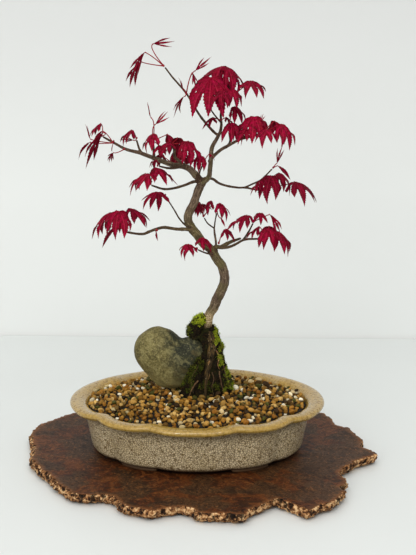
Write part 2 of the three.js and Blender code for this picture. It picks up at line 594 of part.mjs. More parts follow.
// Each spray: the point of its bud, and its leaves. A leaf is the x, y and z of its hub, the
// direction it points in degrees from +X, its length and its form.
const SPRAYS = {
  spray_apex: {
    bud: [-30.3, -9.5, 393],
    leaves: [
      [-40, -8, 413.5, 2, 20, 'young'],
      [-47.5, -14, 406, 186, 25, 'folded'],
      [-52, -4, 396.5, 178, 28, 'folded'],
    ],
  },
  spray_whip: {
    bud: [-9.5, -3, 366.5],
    leaves: [
      [-4, 1, 386, -60, 15, 'folded'],
      [-1, 0, 388, 8, 19, 'perky'],
      [-11.5, -8, 364.5, 196, 21, 'folded'],
      [-12.5, -5, 371, 175, 11, 'rising'],
    ],
  },
  spray_crown: {
    bud: [23, 5.8, 355.3],
    leaves: [
      [23, 16, 391, 176, 38, 'spread'],
      [14, -6, 382, 262, 44, 'cape'],
      [29.5, 3, 391, -22, 32, 'umbrella'],
      [34, -10, 371.5, -60, 22, 'bell'],
      [51.5, 0, 378.5, -70, 24, 'spread'],
      [24, 30, 377, 92, 27, 'umbrella'],
      [24.5, -20, 371, -95, 21, 'bell'],
    ],
  },
  spray_crown_low: {
    bud: [23.2, 4.6, 341],
    leaves: [
      [15.5, 0, 344, 205, 16, 'small'],
      [28.5, 1, 344, -15, 11, 'small'],
    ],
  },
  spray_right_rise: {
    bud: [31, 6.5, 329.3],
    leaves: [
      [33.5, -7, 339.5, -92, 23, 'bell'],
      [36.5, 3, 354, -45, 21, 'bell'],
    ],
  },
  spray_right_fork: {
    bud: [53.2, -6.8, 333.7],
    leaves: [
      [54.5, -17, 346.5, -98, 31, 'umbrella'],
      [43.5, 2, 338, 200, 20, 'bell'],
      [47, -24, 336, -125, 18, 'small'],
      [60, 9, 341, 70, 26, 'umbrella'],
    ],
  },
  spray_right_tip: {
    bud: [64, -30, 333.7],
    leaves: [
      [74, -25, 343.5, 20, 27, 'bell'],
      [80, -42, 342.5, -40, 27, 'umbrella'],
      [61, -27, 342, 25, 9, 'rising'],
      [66, -48, 338.5, -110, 20, 'small'],
    ],
  },
  spray_left_tip: {
    bud: [-95.5, 40.6, 320.7],
    leaves: [
      [-92, 23.5, 326.4, 186, 38, 'folded'],
      [-98, 51, 332, 180, 18, 'small'],
    ],
  },
  spray_left_node: {
    bud: [-83.5, 32.6, 315],
    leaves: [
      [-94.5, 40, 326, 178, 15, 'single'],
      [-107, 42, 317.5, 170, 16, 'rising'],
      [-106, 30, 316, 192, 21, 'single'],
      [-82, 24, 318.5, 250, 12, 'hanging'],
    ],
  },
  spray_left_low: {
    bud: [-72.5, 29.2, 309.2],
    leaves: [
      [-82.5, 24, 306.5, 190, 11, 'hanging'],
    ],
  },
  spray_left_fork: {
    bud: [-61, 37, 318.8],
    leaves: [
      [-65, 31, 328, 205, 20, 'small'],
      [-63, 27, 318.5, 184, 13, 'young'],
    ],
  },
  spray_left_upright: {
    bud: [-42.6, 13, 319.8],
    leaves: [
      [-45, 19, 341.5, 150, 16, 'rising'],
      [-40, 10, 336, 12, 18, 'perky'],
      [-41, 2, 328, 215, 22, 'bell'],
      [-28.5, 14, 326, 15, 19, 'bell'],
      [-34.5, -3, 317, -92, 14, 'small'],
    ],
  },
  spray_left_rise: {
    bud: [-24.8, -9.2, 319.3],
    leaves: [
      [-18, -5, 325, 100, 22, 'bell'],
      [-8, -21, 323.5, -62, 27, 'umbrella'],
      [-26, -16, 322, 235, 17, 'small'],
    ],
  },
  spray_left_stub: {
    bud: [-38.2, 8.8, 296],
    leaves: [
      [-39.5, 3, 302.5, 215, 9, 'small'],
    ],
  },
  spray_left_back: {
    bud: [-23, 20.2, 296.2],
    leaves: [
      [-19, 38, 307, 95, 25, 'umbrella'],
      [-38, 40, 303, 140, 20, 'bell'],
    ],
  },
  spray_inner: {
    bud: [6, -5.5, 298.8],
    leaves: [
      [4, -12, 308.5, -98, 18, 'bell'],
      [13, -7, 310, 5, 8, 'small'],
    ],
  },
  spray_left_middle: {
    bud: [-42, -31, 284.4],
    leaves: [
      [-37, -22, 298.5, -16, 25, 'spread'],
      [-44.5, -40, 295.5, 205, 26, 'spread'],
      [-48, -22, 293, 130, 22, 'bell'],
    ],
  },
  spray_left_thin: {
    bud: [-32.8, 33.6, 263],
    leaves: [
      [-40, 25, 267.5, -112, 24, 'spread'],
    ],
  },
  spray_left_low_tip: {
    bud: [-68.9, -25.6, 238.4],
    leaves: [
      [-83, -19, 254.5, 182, 31, 'bell'],
      [-72, -38, 259.5, -98, 31, 'umbrella'],
      [-62, -15, 258, -2, 26, 'spread'],
      [-74, -31, 244.5, 195, 25, 'single'],
      [-73, -10, 250, 105, 22, 'bell'],
    ],
  },
  spray_left_low_node: {
    bud: [-37.5, -14.8, 237],
    leaves: [
      [-38.5, -17.5, 236.5, -80, 12, 'single'],
    ],
  },
  spray_trunk_left: {
    bud: [0.6, -8.3, 217.8],
    leaves: [
      [-7.5, -15, 223.5, -105, 18, 'small'],
    ],
  },
  spray_trunk_front: {
    bud: [3.4, 1.8, 222],
    leaves: [
      [5.5, -5, 228, -40, 18, 'small'],
    ],
  },
  spray_centre_left: {
    bud: [5.7, 24.8, 243.6],
    leaves: [
      [-1, 27, 258, -120, 18, 'bell'],
      [13, 20, 260, 200, 17, 'bell'],
      [4, 36, 254, 95, 18, 'small'],
    ],
  },
  spray_centre_right: {
    bud: [19.3, 11.7, 250.7],
    leaves: [
      [22, 9, 259.5, -30, 20, 'bell'],
      [23, 4, 246, -50, 11, 'single'],
    ],
  },
  spray_knob: {
    bud: [21.5, 0.5, 221.4],
    leaves: [
      [28.5, -7, 237, -35, 16, 'small'],
    ],
  },
  spray_right_low_rise: {
    bud: [55.1, -7.1, 244.6],
    leaves: [
      [48, -14, 252, 205, 24, 'spread'],
      [61, -7, 253, -80, 14, 'small'],
      [70.5, -8, 252, -6, 24, 'folded'],
    ],
  },
  spray_right_low_tip: {
    bud: [66.5, -38, 235.2],
    leaves: [
      [60, -34, 245, 181, 18, 'small'],
      [69, -46, 245.5, -108, 23, 'bell'],
      [78, -33, 240, -22, 27, 'umbrella'],
      [70, -22, 243, 75, 22, 'bell'],
    ],
  },
  spray_right_middle: {
    bud: [58.5, 34.2, 268.8],
    leaves: [
      [71, 22, 285, -104, 31, 'bell'],
      [60, 20, 277.5, 200, 14, 'small'],
      [80, 33, 286, -22, 25, 'bell'],
      [96, 27, 278, -24, 31, 'spread'],
      [72, 52, 280, 100, 26, 'umbrella'],
    ],
  },
  spray_right_middle_rise: {
    bud: [74.2, 45.4, 289.2],
    leaves: [
      [78, 47, 293.5, 20, 19, 'rising'],
      [78.5, 41, 292, 2, 20, 'single'],
    ],
  },
};

function leafFrame([x, y, z, aimDegrees, length, formName]) {
  const form = FORMS[formName];
  const [turn, tilt, roll] = [aimDegrees * DEG, form.tilt * DEG, form.roll * DEG];
  const level = new THREE.Vector3(Math.cos(turn), Math.sin(turn), 0);
  const aim = level.clone().multiplyScalar(Math.cos(tilt)).addScaledVector(DOWN, Math.sin(tilt));
  const side = new THREE.Vector3(-Math.sin(turn), Math.cos(turn), 0).applyAxisAngle(aim, roll);
  const hub = new THREE.Vector3(x, y, z);
  return { form, length, level, aim, side, hub, normal: aim.clone().cross(side) };
}

// A point on a rib that leaves the hub at an angle from the aim, and the blade's normal there.
function onRib(frame, angle, ribLength, share) {
  const [along, aside] = [Math.cos(angle), Math.sin(angle)];
  const out = frame.aim.clone().multiplyScalar(along).addScaledVector(frame.side, aside);
  const across = frame.side.clone().multiplyScalar(along).addScaledVector(frame.aim, -aside);
  const droop = Math.min(frame.form.droop * (1 + SAG_SPREAD * Math.sin(angle * 5 + frame.length)), 1);
  const hinge = frame.level.clone().cross(DOWN);
  const point = frame.hub.clone();
  const heading = new THREE.Vector3();
  let bow = 0;
  for (let step = 0; step < RIB_STEPS; step++) {
    const s = (share * (step + 0.5)) / RIB_STEPS;
    const reach = (s * ribLength) / frame.length;
    const sag = droop * (2 * s - s * s);
    bow = frame.form.bow * DEG * (2 * reach - reach * reach);
    heading.copy(out).applyAxisAngle(hinge, bow).multiplyScalar(1 - sag).addScaledVector(DOWN, sag);
    heading.normalize();
    point.addScaledVector(heading, (ribLength * share) / RIB_STEPS);
  }
  across.applyAxisAngle(hinge, bow);
  across.addScaledVector(heading, -across.dot(heading)).normalize();
  return { point, across, normal: heading.clone().cross(across) };
}

// The stalk's rings of four corners, from inside the bud to the base of the blade. It rises in a bow
// and meets the hub from behind.
function stalkRings(bud, frame, heel) {
  const start = new THREE.Vector3(...bud);
  const reach = start.distanceTo(frame.hub);
  const bend = frame.hub.clone().addScaledVector(frame.level, -STALK_ARCH * reach);
  bend.addScaledVector(DOWN, STALK_DIP * reach);
  const route = new THREE.QuadraticBezierCurve3(start, bend, frame.hub);
  const rings = STALK_RINGS.map((share) => {
    const heading = route.getTangent(share);
    const turn = new THREE.Quaternion().setFromUnitVectors(frame.aim, heading);
    const across = frame.side.clone().applyQuaternion(turn);
    const above = heading.clone().cross(across).multiplyScalar(PETIOLE_WIDTH / 2);
    across.multiplyScalar(PETIOLE_WIDTH / 2);
    const middle = route.getPoint(share);
    return [[-1, 1], [-1, -1], [1, -1], [1, 1]].map(([side, top]) => (
      middle.clone().addScaledVector(across, side).addScaledVector(above, top)));
  });
  return [...rings, heel];
}

// One leaf on its stalk: lobes like spear heads that part at the sinuses, all in a thin closed skin.
function leaf(bud, frame, seed) {
  const { fan, lengths, width, sinus } = frame.form;
  const order = [...fan.slice(1).reverse().map((a) => -a), ...fan];
  const step = fan[1] ?? LONE_LOBE_ANGLE;
  const lobes = order.map((angle, k) => {
    const share = lengths[fan.indexOf(Math.abs(angle))] * (1 + LENGTH_SPREAD * uneven(seed, k));
    const turn = angle + ANGLE_SPREAD * step * uneven(seed + 7, k);
    return { angle: turn * DEG, length: frame.length * share };
  });
  const points = [];
  const triangles = [];
  const add = (point) => points.push(point) - 1;
  const layered = ({ point, normal }) => [
    add(point.clone().addScaledVector(normal, BLADE_THICKNESS / 2)),
    add(point.clone().addScaledVector(normal, -BLADE_THICKNESS / 2)),
  ];
  const face = (a, b, c) => triangles.push(a[0], b[0], c[0], a[1], c[1], b[1]);
  const wall = (a, b) => triangles.push(a[0], a[1], b[1], a[0], b[1], b[0]);

  const heel = [-1, 1].map((side) => layered({
    point: frame.hub.clone().addScaledVector(frame.side, (side * PETIOLE_WIDTH) / 2),
    normal: frame.normal,
  }));
  const halfStep = (step / 2) * DEG;
  const sinusAngles = [lobes[0].angle - halfStep];
  lobes.slice(1).forEach((l, k) => sinusAngles.push((l.angle + lobes[k].angle) / 2));
  sinusAngles.push(lobes[lobes.length - 1].angle + halfStep);
  const sinuses = sinusAngles.map((angle, k) => {
    if (k === 0 || k === lobes.length) return layered(onRib(frame, angle, frame.length, OUTER_SINUS_REACH));
    const shorter = Math.min(lobes[k - 1].length, lobes[k].length) / frame.length;
    return layered(onRib(frame, angle, frame.length, Math.min(sinus, SINUS_SHARE * shorter)));
  });

  const middleLobe = fan.length - 1;
  lobes.forEach((l, k) => {
    const middle = onRib(frame, l.angle, l.length, LOBE_WIDEST);
    const spaces = [lobes[k - 1], lobes[k + 1]].filter(Boolean).map((next) => {
      const share = Math.min((l.length * LOBE_WIDEST) / next.length, 1);
      return onRib(frame, next.angle, next.length, share).point.distanceTo(middle.point);
    });
    const fullWidth = width * frame.length * (0.55 + 0.45 * (l.length / frame.length));
    const halfWidth = Math.min(fullWidth, LOBE_SPACING * Math.min(...spaces));
    const [right, left] = [-1, 1].map((side) => layered({
      point: middle.point.clone().addScaledVector(middle.across, side * halfWidth),
      normal: middle.normal,
    }));
    const tipId = add(onRib(frame, l.angle, l.length, 1).point);
    const tip = [tipId, tipId];
    const [before, after] = [sinuses[k], sinuses[k + 1]];
    face(heel[k > middleLobe ? 1 : 0], before, after);
    if (k === middleLobe) face(heel[0], after, heel[1]);
    face(before, right, left);
    face(before, left, after);
    face(right, tip, left);
    wall(before, right);
    wall(right, tip);
    wall(tip, left);
    wall(left, after);
  });
  wall(heel[0], sinuses[0]);
  wall(sinuses[sinuses.length - 1], heel[1]);

  const rings = stalkRings(bud, frame, [...heel[0], ...[...heel[1]].reverse()]);
  const toId = (corner) => (typeof corner === 'number' ? corner : add(corner));
  const ids = rings.map((ring) => ring.map(toId));
  ids.slice(1).forEach((ring, step) => {
    const last = ids[step];
    ring.forEach((corner, k) => {
      const next = (k + 1) % ring.length;
      triangles.push(last[k], last[next], ring[next], last[k], ring[next], corner);
    });
  });
  triangles.push(ids[0][0], ids[0][2], ids[0][1], ids[0][0], ids[0][3], ids[0][2]);
  const geometry = new THREE.BufferGeometry().setFromPoints(points);
  geometry.setIndex(triangles);
  return toSolid(geometry);
}

function budSolid(centre) {
  const scales = new THREE.OctahedronGeometry(BUD_RADIUS);
  scales.translate(...centre);
  return toSolid(scales);
}

function spray({ bud, leaves }, seed) {
  return join([budSolid(bud), ...leaves.map((row, k) => leaf(bud, leafFrame(row), seed + k))]);
}

// ---------- Assembly ----------

const MATERIALS = {
  burl: { color: 0x4a2418, roughness: 0.35, metalness: 0 },
  glaze: { color: 0x8f8171, roughness: 0.22, metalness: 0 },
  plastic: { color: 0x20221f, roughness: 0.6, metalness: 0 },
  gravel: { color: 0x9b7c58, roughness: 0.9, metalness: 0 },
  peat: { color: 0x2c2014, roughness: 1, metalness: 0 },
  stone: { color: 0x5d5f50, roughness: 0.8, metalness: 0 },
  bark: { color: 0x49432f, roughness: 0.75, metalness: 0 },
  leaf: { color: 0x7d0a2c, roughness: 0.55, metalness: 0 },
};
const bonsai = new THREE.Group();

function place(name, solid, material) {
  const mesh = new THREE.Mesh(toGeometry(solid), new THREE.MeshStandardMaterial(MATERIALS[material]));
  mesh.name = name;
  bonsai.add(mesh);
}

const treeRoom = tree(GAP);
const rockRoom = rock(GAP);
const moundRoom = mound(GAP);
const screenRooms = [screenRoom(-DRAIN_X), screenRoom(DRAIN_X)];

place('display_slab', slab(), 'burl');
place('pot', pot(), 'glaze');
place('drain_screen_left', screen(-DRAIN_X), 'plastic');
place('drain_screen_right', screen(DRAIN_X), 'plastic');
place('gravel_soil', largestBody(cutBy(soil(), [...screenRooms, rockRoom, moundRoom, treeRoom])), 'gravel');
place('root_mound', largestBody(cutBy(mound(), [rockRoom, treeRoom])), 'peat');
place('rock', rock(), 'stone');
place('tree', tree(), 'bark');
Object.entries(SPRAYS).forEach(([name, row], index) => {
  place(name, largestBody(spray(row, index * 10).subtract(treeRoom)), 'leaf');
});

export default bonsai;
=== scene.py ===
"""A bonsai maple in a glazed pot on a slice of burl, dressed for rendering."""

import math

import bmesh
import bpy
import numpy as np
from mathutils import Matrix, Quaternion, Vector, noise
from mathutils.bvhtree import BVHTree
from mathutils.kdtree import KDTree


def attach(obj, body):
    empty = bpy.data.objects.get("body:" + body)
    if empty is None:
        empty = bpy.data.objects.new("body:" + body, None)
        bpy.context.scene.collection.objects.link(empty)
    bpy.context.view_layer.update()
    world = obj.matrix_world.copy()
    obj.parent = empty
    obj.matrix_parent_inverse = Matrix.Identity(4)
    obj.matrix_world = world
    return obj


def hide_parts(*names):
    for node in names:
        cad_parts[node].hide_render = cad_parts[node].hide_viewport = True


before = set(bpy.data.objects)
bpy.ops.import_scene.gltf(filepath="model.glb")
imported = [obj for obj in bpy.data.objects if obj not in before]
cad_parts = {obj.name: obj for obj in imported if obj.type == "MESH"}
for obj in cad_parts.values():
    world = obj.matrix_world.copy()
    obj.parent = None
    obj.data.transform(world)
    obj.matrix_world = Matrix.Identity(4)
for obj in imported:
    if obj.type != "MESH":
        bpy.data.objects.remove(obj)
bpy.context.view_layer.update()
MM = 0.001  # lengths are in millimetres, apart from those of the camera, stage and lights


# ---------- Camera, light and stage ----------

CAMERA_PLACE = (0.0525, -1.2657, 0.4809)
CAMERA_AIM = (0.01095, 0.0, 0.18739)
SENSOR_WIDTH, LENS = 36.0, 86.1

# A table, and a wall that starts a little behind its back edge and below it.
STAGE_HALF_WIDTH, TABLE_FRONT, TABLE_BACK = 4.0, -3.0, 0.452
WALL_SEAM, WALL_FOOT, WALL_TOP = 0.004, -0.02, 3.0
TABLE_COLOUR = (0.75, 0.78, 0.78, 1.0)
# The wall's colours darken with height: painted shade of the light falling off.
WALL_PAINTED_FALLOFF = ((0.2, (229, 232, 232)), (0.5, (209, 211, 212)))  # each with its height

WORLD_COLOUR, WORLD_LIGHT = (1.0, 0.985, 0.94, 1.0), 0.53
# Each lamp: its place, what it points at, its size, power and colour.
LAMPS = {
    "ceiling": ((0.0, -0.8, 2.1), (0.0, 0.0, 0.0), (2.4, 1.8), 12.5, (1.0, 0.98, 0.92)),
    "window": ((-1.0, -2.4, 1.0), (0.0, 0.0, 0.1), (1.4, 1.2), 20.0, (1.0, 0.98, 0.93)),
    "strip": ((0.1, -1.6, 1.6), (0.0, 0.0, 0.1), (1.7, 0.07), 15.0, (1.0, 1.0, 1.0)),
}


def link(name, data):
    """A new object in the scene."""
    thing = bpy.data.objects.new(name, data)
    bpy.context.scene.collection.objects.link(thing)
    return thing


def aimed(name, data, place, aim):
    """A camera or lamp at a place, pointed at another."""
    thing = link(name, data)
    thing.location = place
    thing.rotation_euler = (Vector(aim) - Vector(place)).to_track_quat("-Z", "Y").to_euler()
    return thing


def set_camera():
    """The photograph's view: slightly from above, from about 1.3 m."""
    lens = bpy.data.cameras.new("camera")
    lens.sensor_width, lens.lens = SENSOR_WIDTH, LENS
    lens.clip_start, lens.clip_end = 0.05, 60.0
    bpy.context.scene.camera = aimed("camera", lens, CAMERA_PLACE, CAMERA_AIM)


def stage_board(name, low, high, material):
    """A board across the stage, between two edges given by their y and z."""
    ends = (-STAGE_HALF_WIDTH, STAGE_HALF_WIDTH)
    mesh = bpy.data.meshes.new(name)
    corners = [(x, *low) for x in ends] + [(x, *high) for x in ends[::-1]]
    mesh.from_pydata(corners, [], [(0, 1, 2, 3)])
    mesh.materials.append(material)
    link(name, mesh)


def set_stage():
    """A pale table with a pale wall behind it, and soft light from above."""
    table, wall = Paint("table"), Paint("backdrop")
    stage_board("table", (TABLE_FRONT, 0), (TABLE_BACK, 0), table.finish(TABLE_COLOUR, 0.55, 0.3))
    # Darker higher up the wall: painted shade of the light falling off.
    shade = wall.ramp(wall.part(wall.place((MM, MM, MM)), "Z"), *WALL_PAINTED_FALLOFF)
    wall.finish(shade, 0.9, 0.1)
    # The wall lets the view through when it is seen from its back.
    behind = wall.add("ShaderNodeNewGeometry").outputs["Backfacing"]
    wall.blend(behind, wall.add("ShaderNodeBsdfTransparent"))
    place = TABLE_BACK + WALL_SEAM
    stage_board("backdrop", (place, WALL_FOOT), (place, WALL_TOP), wall.material)


def set_lights():
    """A soft glow all round, and the three lamps."""
    world = bpy.data.worlds.new("studio")
    world.use_nodes = True
    glow = world.node_tree.nodes["Background"]
    glow.inputs["Color"].default_value = WORLD_COLOUR
    glow.inputs["Strength"].default_value = WORLD_LIGHT
    bpy.context.scene.world = world
    bpy.context.scene.view_settings.view_transform = "Standard"
    for name, (place, aim, size, power, colour) in LAMPS.items():
        lamp = bpy.data.lights.new(name, "AREA")
        lamp.shape = "RECTANGLE"
        lamp.size, lamp.size_y = size
        lamp.energy, lamp.color = power, colour
        aimed(name, lamp, place, aim)


# ---------- The tree's limbs and leaves, and the slice's outline ----------

# Each limb: the points of its route, and its diameters spread evenly along it.
LIMBS = {
    "trunk": ([(10.5, 12, 122), (11.5, 11, 145.5), (16.5, 10, 155), (20, 9, 164.5), (24.5, 8, 173.5),
        (27, 7, 182.5), (26.5, 6, 190.5), (24, 6, 198), (19, 6, 205.5), (14, 7, 213.5), (6, 8, 220),
        (0.5, 9, 227.5), (-4.5, 10, 233.5), (-8.5, 11, 240), (-9, 12, 245.5), (-7, 12, 252),
        (-3, 12, 259.5), (1, 11, 271.5), (5, 10, 281)], [8, 9, 10, 9.5, 9, 9, 8.5, 8, 8]),
    "leader": ([(5, 10, 279), (11.5, 9, 285.5), (12.5, 8, 292.5), (13.5, 7, 302), (14.5, 7, 314),
        (19, 7, 322.5), (22.5, 8, 329)], [6, 4.5, 4.5, 4, 3.2]),
    "crown_stem": ([(22.3, 8, 328), (23.5, 8, 336), (23, 7, 344.5), (23, 6, 353.5)], [3.2, 2.4, 1.8]),
    "crown_left": ([(23.3, 8, 338), (16, 13, 346), (11, 18, 353)], [1.8, 1.4]),
    "whip": ([(21.5, 8, 326.5), (19, 8, 327), (6, 6, 341), (0, 4, 350), (-9.5, 0, 366.5),
        (-22.5, -6, 382.5), (-29, -9, 391.5)], [2.8, 2.2, 2, 1.6]),
    "right_upper": ([(14.3, 7, 304.5), (23.5, 2, 313), (29, -2, 316.5), (35.5, -8, 321), (43, -15, 325.5),
        (52, -22, 328.5), (62.5, -29, 333)], [3.4, 3, 2.6, 2]),
    "right_upper_fork": ([(43, -15, 325.5), (47.5, -12, 329), (52, -8, 332.5)], [2, 1.6]),
    "right_upper_rise": ([(29, -2, 316.5), (32, 2, 321), (31, 6, 327.5)], [2, 1.6]),
    "left_main": ([(5, 10, 279), (-1, 11, 286.5), (-7, 12, 292.5), (-13.5, 14, 295), (-22, 16, 295.5),
        (-31.5, 19, 298), (-41, 22, 301), (-56.5, 27, 306), (-71, 32, 309), (-83.5, 36, 315),
        (-94, 40, 320)], [7.5, 6.5, 5.5, 4.6, 4, 3.4, 2.6, 2]),
    "left_main_rise": ([(-9.5, 12, 293.5), (-16.5, 7, 300.5), (-21, 2, 305.5), (-21.5, -4, 314),
        (-24, -8, 318)], [3.6, 3, 2]),
    "left_main_stub": ([(-15, 13.5, 294.5), (-26.5, 10, 293.5), (-36.5, 9, 295.5)], [3, 2.4, 1.8]),
    "left_main_upright": ([(-42.5, 22, 301.5), (-42.5, 18, 310), (-42.5, 14, 318)], [3, 2]),
    "left_main_fork": ([(-54.5, 26, 305.5), (-57.5, 30, 309.5), (-60.5, 36, 317)], [2.6, 1.8]),
    "left_middle": ([(1, 10, 280), (-2, 5, 281.5), (-12.5, -5, 279), (-23, -14, 277.5), (-30.5, -20, 278),
        (-41, -30, 283)], [3.2, 2.6, 2.4, 1.8]),
    "left_thin": ([(-7.5, 11, 234.5), (-10, 13, 235.5), (-17.5, 20, 241.5), (-23.5, 26, 250),
        (-32, 33, 261.5)], [2, 1.6, 1.4]),
    "left_low": ([(-5, 9, 232), (-8.5, 6, 234), (-19.5, 0, 235.5), (-32, -8, 238.5), (-39, -12, 237.5),
        (-45.5, -15, 235.5), (-50.5, -18, 234), (-60.5, -22, 235.5), (-67.5, -25, 237.5)], [4, 3.2, 3, 2.6,
        2]),
    "left_tiny": ([(15, 7, 209), (8.5, 0, 212), (1.5, -7, 216.5)], [2, 1.4]),
    "knob": ([(12, 7, 211.5), (19, 4, 217), (24.5, 0, 217.5)], [6, 5, 3.4]),
    "right_rise": ([(18.5, 4, 216.5), (18.5, 6, 221.5), (17, 12, 229.5), (16.5, 16, 234.5)], [2.4, 1.8]),
    "right_rise_left": ([(16.6, 15.5, 233.5), (10, 20, 237.5), (6.5, 24, 242)], [1.6, 1.4]),
    "right_rise_right": ([(16.6, 15.5, 233.5), (17.5, 14, 241), (19, 12, 249)], [1.6, 1.4]),
    "right_low": ([(22, 1.5, 217), (30.5, -6, 219), (38, -13, 223.5), (44.5, -19, 228.5), (49, -23, 230.5),
        (58, -31, 232.5), (65, -37, 234.5)], [3.2, 2.6, 2.2, 1.8]),
    "right_low_rise": ([(45, -19.5, 228.5), (50.5, -14, 236), (54.5, -8, 243)], [2.2, 1.6]),
    "broken_stub": ([(22, 2, 217), (34, 5, 222.5), (42.5, 8, 225)], [4, 3.6, 2.2]),
    "right_middle": ([(7, 9.5, 284), (15, 12, 283), (20.5, 16, 278.5), (28, 21, 275), (40, 28, 272),
        (46.5, 31, 271.5), (57, 34, 269)], [3, 2.4, 2.2, 1.8]),
    "right_middle_rise": ([(45.5, 30.5, 271.5), (54, 36, 274.5), (61.5, 40, 277.5), (69, 43, 284),
        (73, 45, 288)], [1.9, 1.6]),
    "inner_twig": ([(2.7, 10, 282), (2.5, 5, 289), (5.5, -4, 298)], [1.9, 1.4]),
    "root_front": ([(10.5, 11, 132), (14.5, 4, 118), (13, -1, 104), (10, -6, 90), (8.5, -12, 66)], [8, 8.5,
        7, 3.6, 2.4]),
    "root_right": ([(12, 12, 132), (21, 10, 116), (26, 7, 98), (30.5, 6, 82), (35, 4, 66)], [8, 4.4, 3.4,
        2.8, 2.4]),
    "root_back": ([(11, 14, 132), (13, 22, 114), (17, 26, 96), (19, 31, 78), (25, 38, 64)], [7, 4.6, 3.8,
        3.2, 2.6]),
}

# Each spray: its bud, and each leaf's hub, heading in degrees, length and form.
SPRAYS = {
    "apex": ((-30.3, -9.5, 393), [(-40, -8, 413.5, 2, 20, "young"), (-47.5, -14, 406, 186, 25, "folded"),
        (-52, -4, 396.5, 178, 28, "folded")]),
    "whip": ((-9.5, -3, 366.5), [(-4, 1, 386, -60, 15, "folded"), (-1, 0, 388, 8, 19, "perky"),
        (-11.5, -8, 364.5, 196, 21, "folded"), (-12.5, -5, 371, 175, 11, "rising")]),
    "crown": ((23, 5.8, 355.3), [(23, 16, 391, 176, 38, "spread"), (14, -6, 382, 262, 44, "cape"),
        (29.5, 3, 391, -22, 32, "umbrella"), (34, -10, 371.5, -60, 22, "bell"),
        (51.5, 0, 378.5, -70, 24, "spread"), (24, 30, 377, 92, 27, "umbrella"),
        (24.5, -20, 371, -95, 21, "bell")]),
    "crown_low": ((23.2, 4.6, 341), [(15.5, 0, 344, 205, 16, "small"), (28.5, 1, 344, -15, 11, "small")]),
    "right_rise": ((31, 6.5, 329.3), [(33.5, -7, 339.5, -92, 23, "bell"),
        (36.5, 3, 354, -45, 21, "bell")]),
    "right_fork": ((53.2, -6.8, 333.7), [(54.5, -17, 346.5, -98, 31, "umbrella"),
        (43.5, 2, 338, 200, 20, "bell"), (47, -24, 336, -125, 18, "small"),
        (60, 9, 341, 70, 26, "umbrella")]),
    "right_tip": ((64, -30, 333.7), [(74, -25, 343.5, 20, 27, "bell"),
        (80, -42, 342.5, -40, 27, "umbrella"), (61, -27, 342, 25, 9, "rising"),
        (66, -48, 338.5, -110, 20, "small")]),
    "left_tip": ((-95.5, 40.6, 320.7), [(-92, 23.5, 326.4, 186, 38, "folded"),
        (-98, 51, 332, 180, 18, "small")]),
    "left_node": ((-83.5, 32.6, 315), [(-94.5, 40, 326, 178, 15, "single"),
        (-107, 42, 317.5, 170, 16, "rising"), (-106, 30, 316, 192, 21, "single"),
        (-82, 24, 318.5, 250, 12, "hanging")]),
    "left_low": ((-72.5, 29.2, 309.2), [(-82.5, 24, 306.5, 190, 11, "hanging")]),
    "left_fork": ((-61, 37, 318.8), [(-65, 31, 328, 205, 20, "small"),
        (-63, 27, 318.5, 184, 13, "young")]),
    "left_upright": ((-42.6, 13, 319.8), [(-45, 19, 341.5, 150, 16, "rising"),
        (-40, 10, 336, 12, 18, "perky"), (-41, 2, 328, 215, 22, "bell"), (-28.5, 14, 326, 15, 19, "bell"),
        (-34.5, -3, 317, -92, 14, "small")]),
    "left_rise": ((-24.8, -9.2, 319.3), [(-18, -5, 325, 100, 22, "bell"),
        (-8, -21, 323.5, -62, 27, "umbrella"), (-26, -16, 322, 235, 17, "small")]),
    "left_stub": ((-38.2, 8.8, 296), [(-39.5, 3, 302.5, 215, 9, "small")]),
    "left_back": ((-23, 20.2, 296.2), [(-19, 38, 307, 95, 25, "umbrella"),
        (-38, 40, 303, 140, 20, "bell")]),
    "inner": ((6, -5.5, 298.8), [(4, -12, 308.5, -98, 18, "bell"), (13, -7, 310, 5, 8, "small")]),
    "left_middle": ((-42, -31, 284.4), [(-37, -22, 298.5, -16, 25, "spread"),
        (-44.5, -40, 295.5, 205, 26, "spread"), (-48, -22, 293, 130, 22, "bell")]),
    "left_thin": ((-32.8, 33.6, 263), [(-40, 25, 267.5, -112, 24, "spread")]),
    "left_low_tip": ((-68.9, -25.6, 238.4), [(-83, -19, 254.5, 182, 31, "bell"),
        (-72, -38, 259.5, -98, 31, "umbrella"), (-62, -15, 258, -2, 26, "spread"),
        (-74, -31, 244.5, 195, 25, "single"), (-73, -10, 250, 105, 22, "bell")]),
    "left_low_node": ((-37.5, -14.8, 237), [(-38.5, -17.5, 236.5, -80, 12, "single")]),
    "trunk_left": ((0.6, -8.3, 217.8), [(-7.5, -15, 223.5, -105, 18, "small")]),
    "trunk_front": ((3.4, 1.8, 222), [(5.5, -5, 228, -40, 18, "small")]),
    "centre_left": ((5.7, 24.8, 243.6), [(-1, 27, 258, -120, 18, "bell"), (13, 20, 260, 200, 17, "bell"),
        (4, 36, 254, 95, 18, "small")]),
    "centre_right": ((19.3, 11.7, 250.7), [(22, 9, 259.5, -30, 20, "bell"),
        (23, 4, 246, -50, 11, "single")]),
    "knob": ((21.5, 0.5, 221.4), [(28.5, -7, 237, -35, 16, "small")]),
    "right_low_rise": ((55.1, -7.1, 244.6), [(48, -14, 252, 205, 24, "spread"),
        (61, -7, 253, -80, 14, "small"), (70.5, -8, 252, -6, 24, "folded")]),
    "right_low_tip": ((66.5, -38, 235.2), [(60, -34, 245, 181, 18, "small"),
        (69, -46, 245.5, -108, 23, "bell"), (78, -33, 240, -22, 27, "umbrella"),
        (70, -22, 243, 75, 22, "bell")]),
    "right_middle": ((58.5, 34.2, 268.8), [(71, 22, 285, -104, 31, "bell"),
        (60, 20, 277.5, 200, 14, "small"), (80, 33, 286, -22, 25, "bell"),
        (96, 27, 278, -24, 31, "spread"), (72, 52, 280, 100, 26, "umbrella")]),
    "right_middle_rise": ((74.2, 45.4, 289.2), [(78, 47, 293.5, 20, 19, "rising"),
        (78.5, 41, 292, 2, 20, "single")]),
}

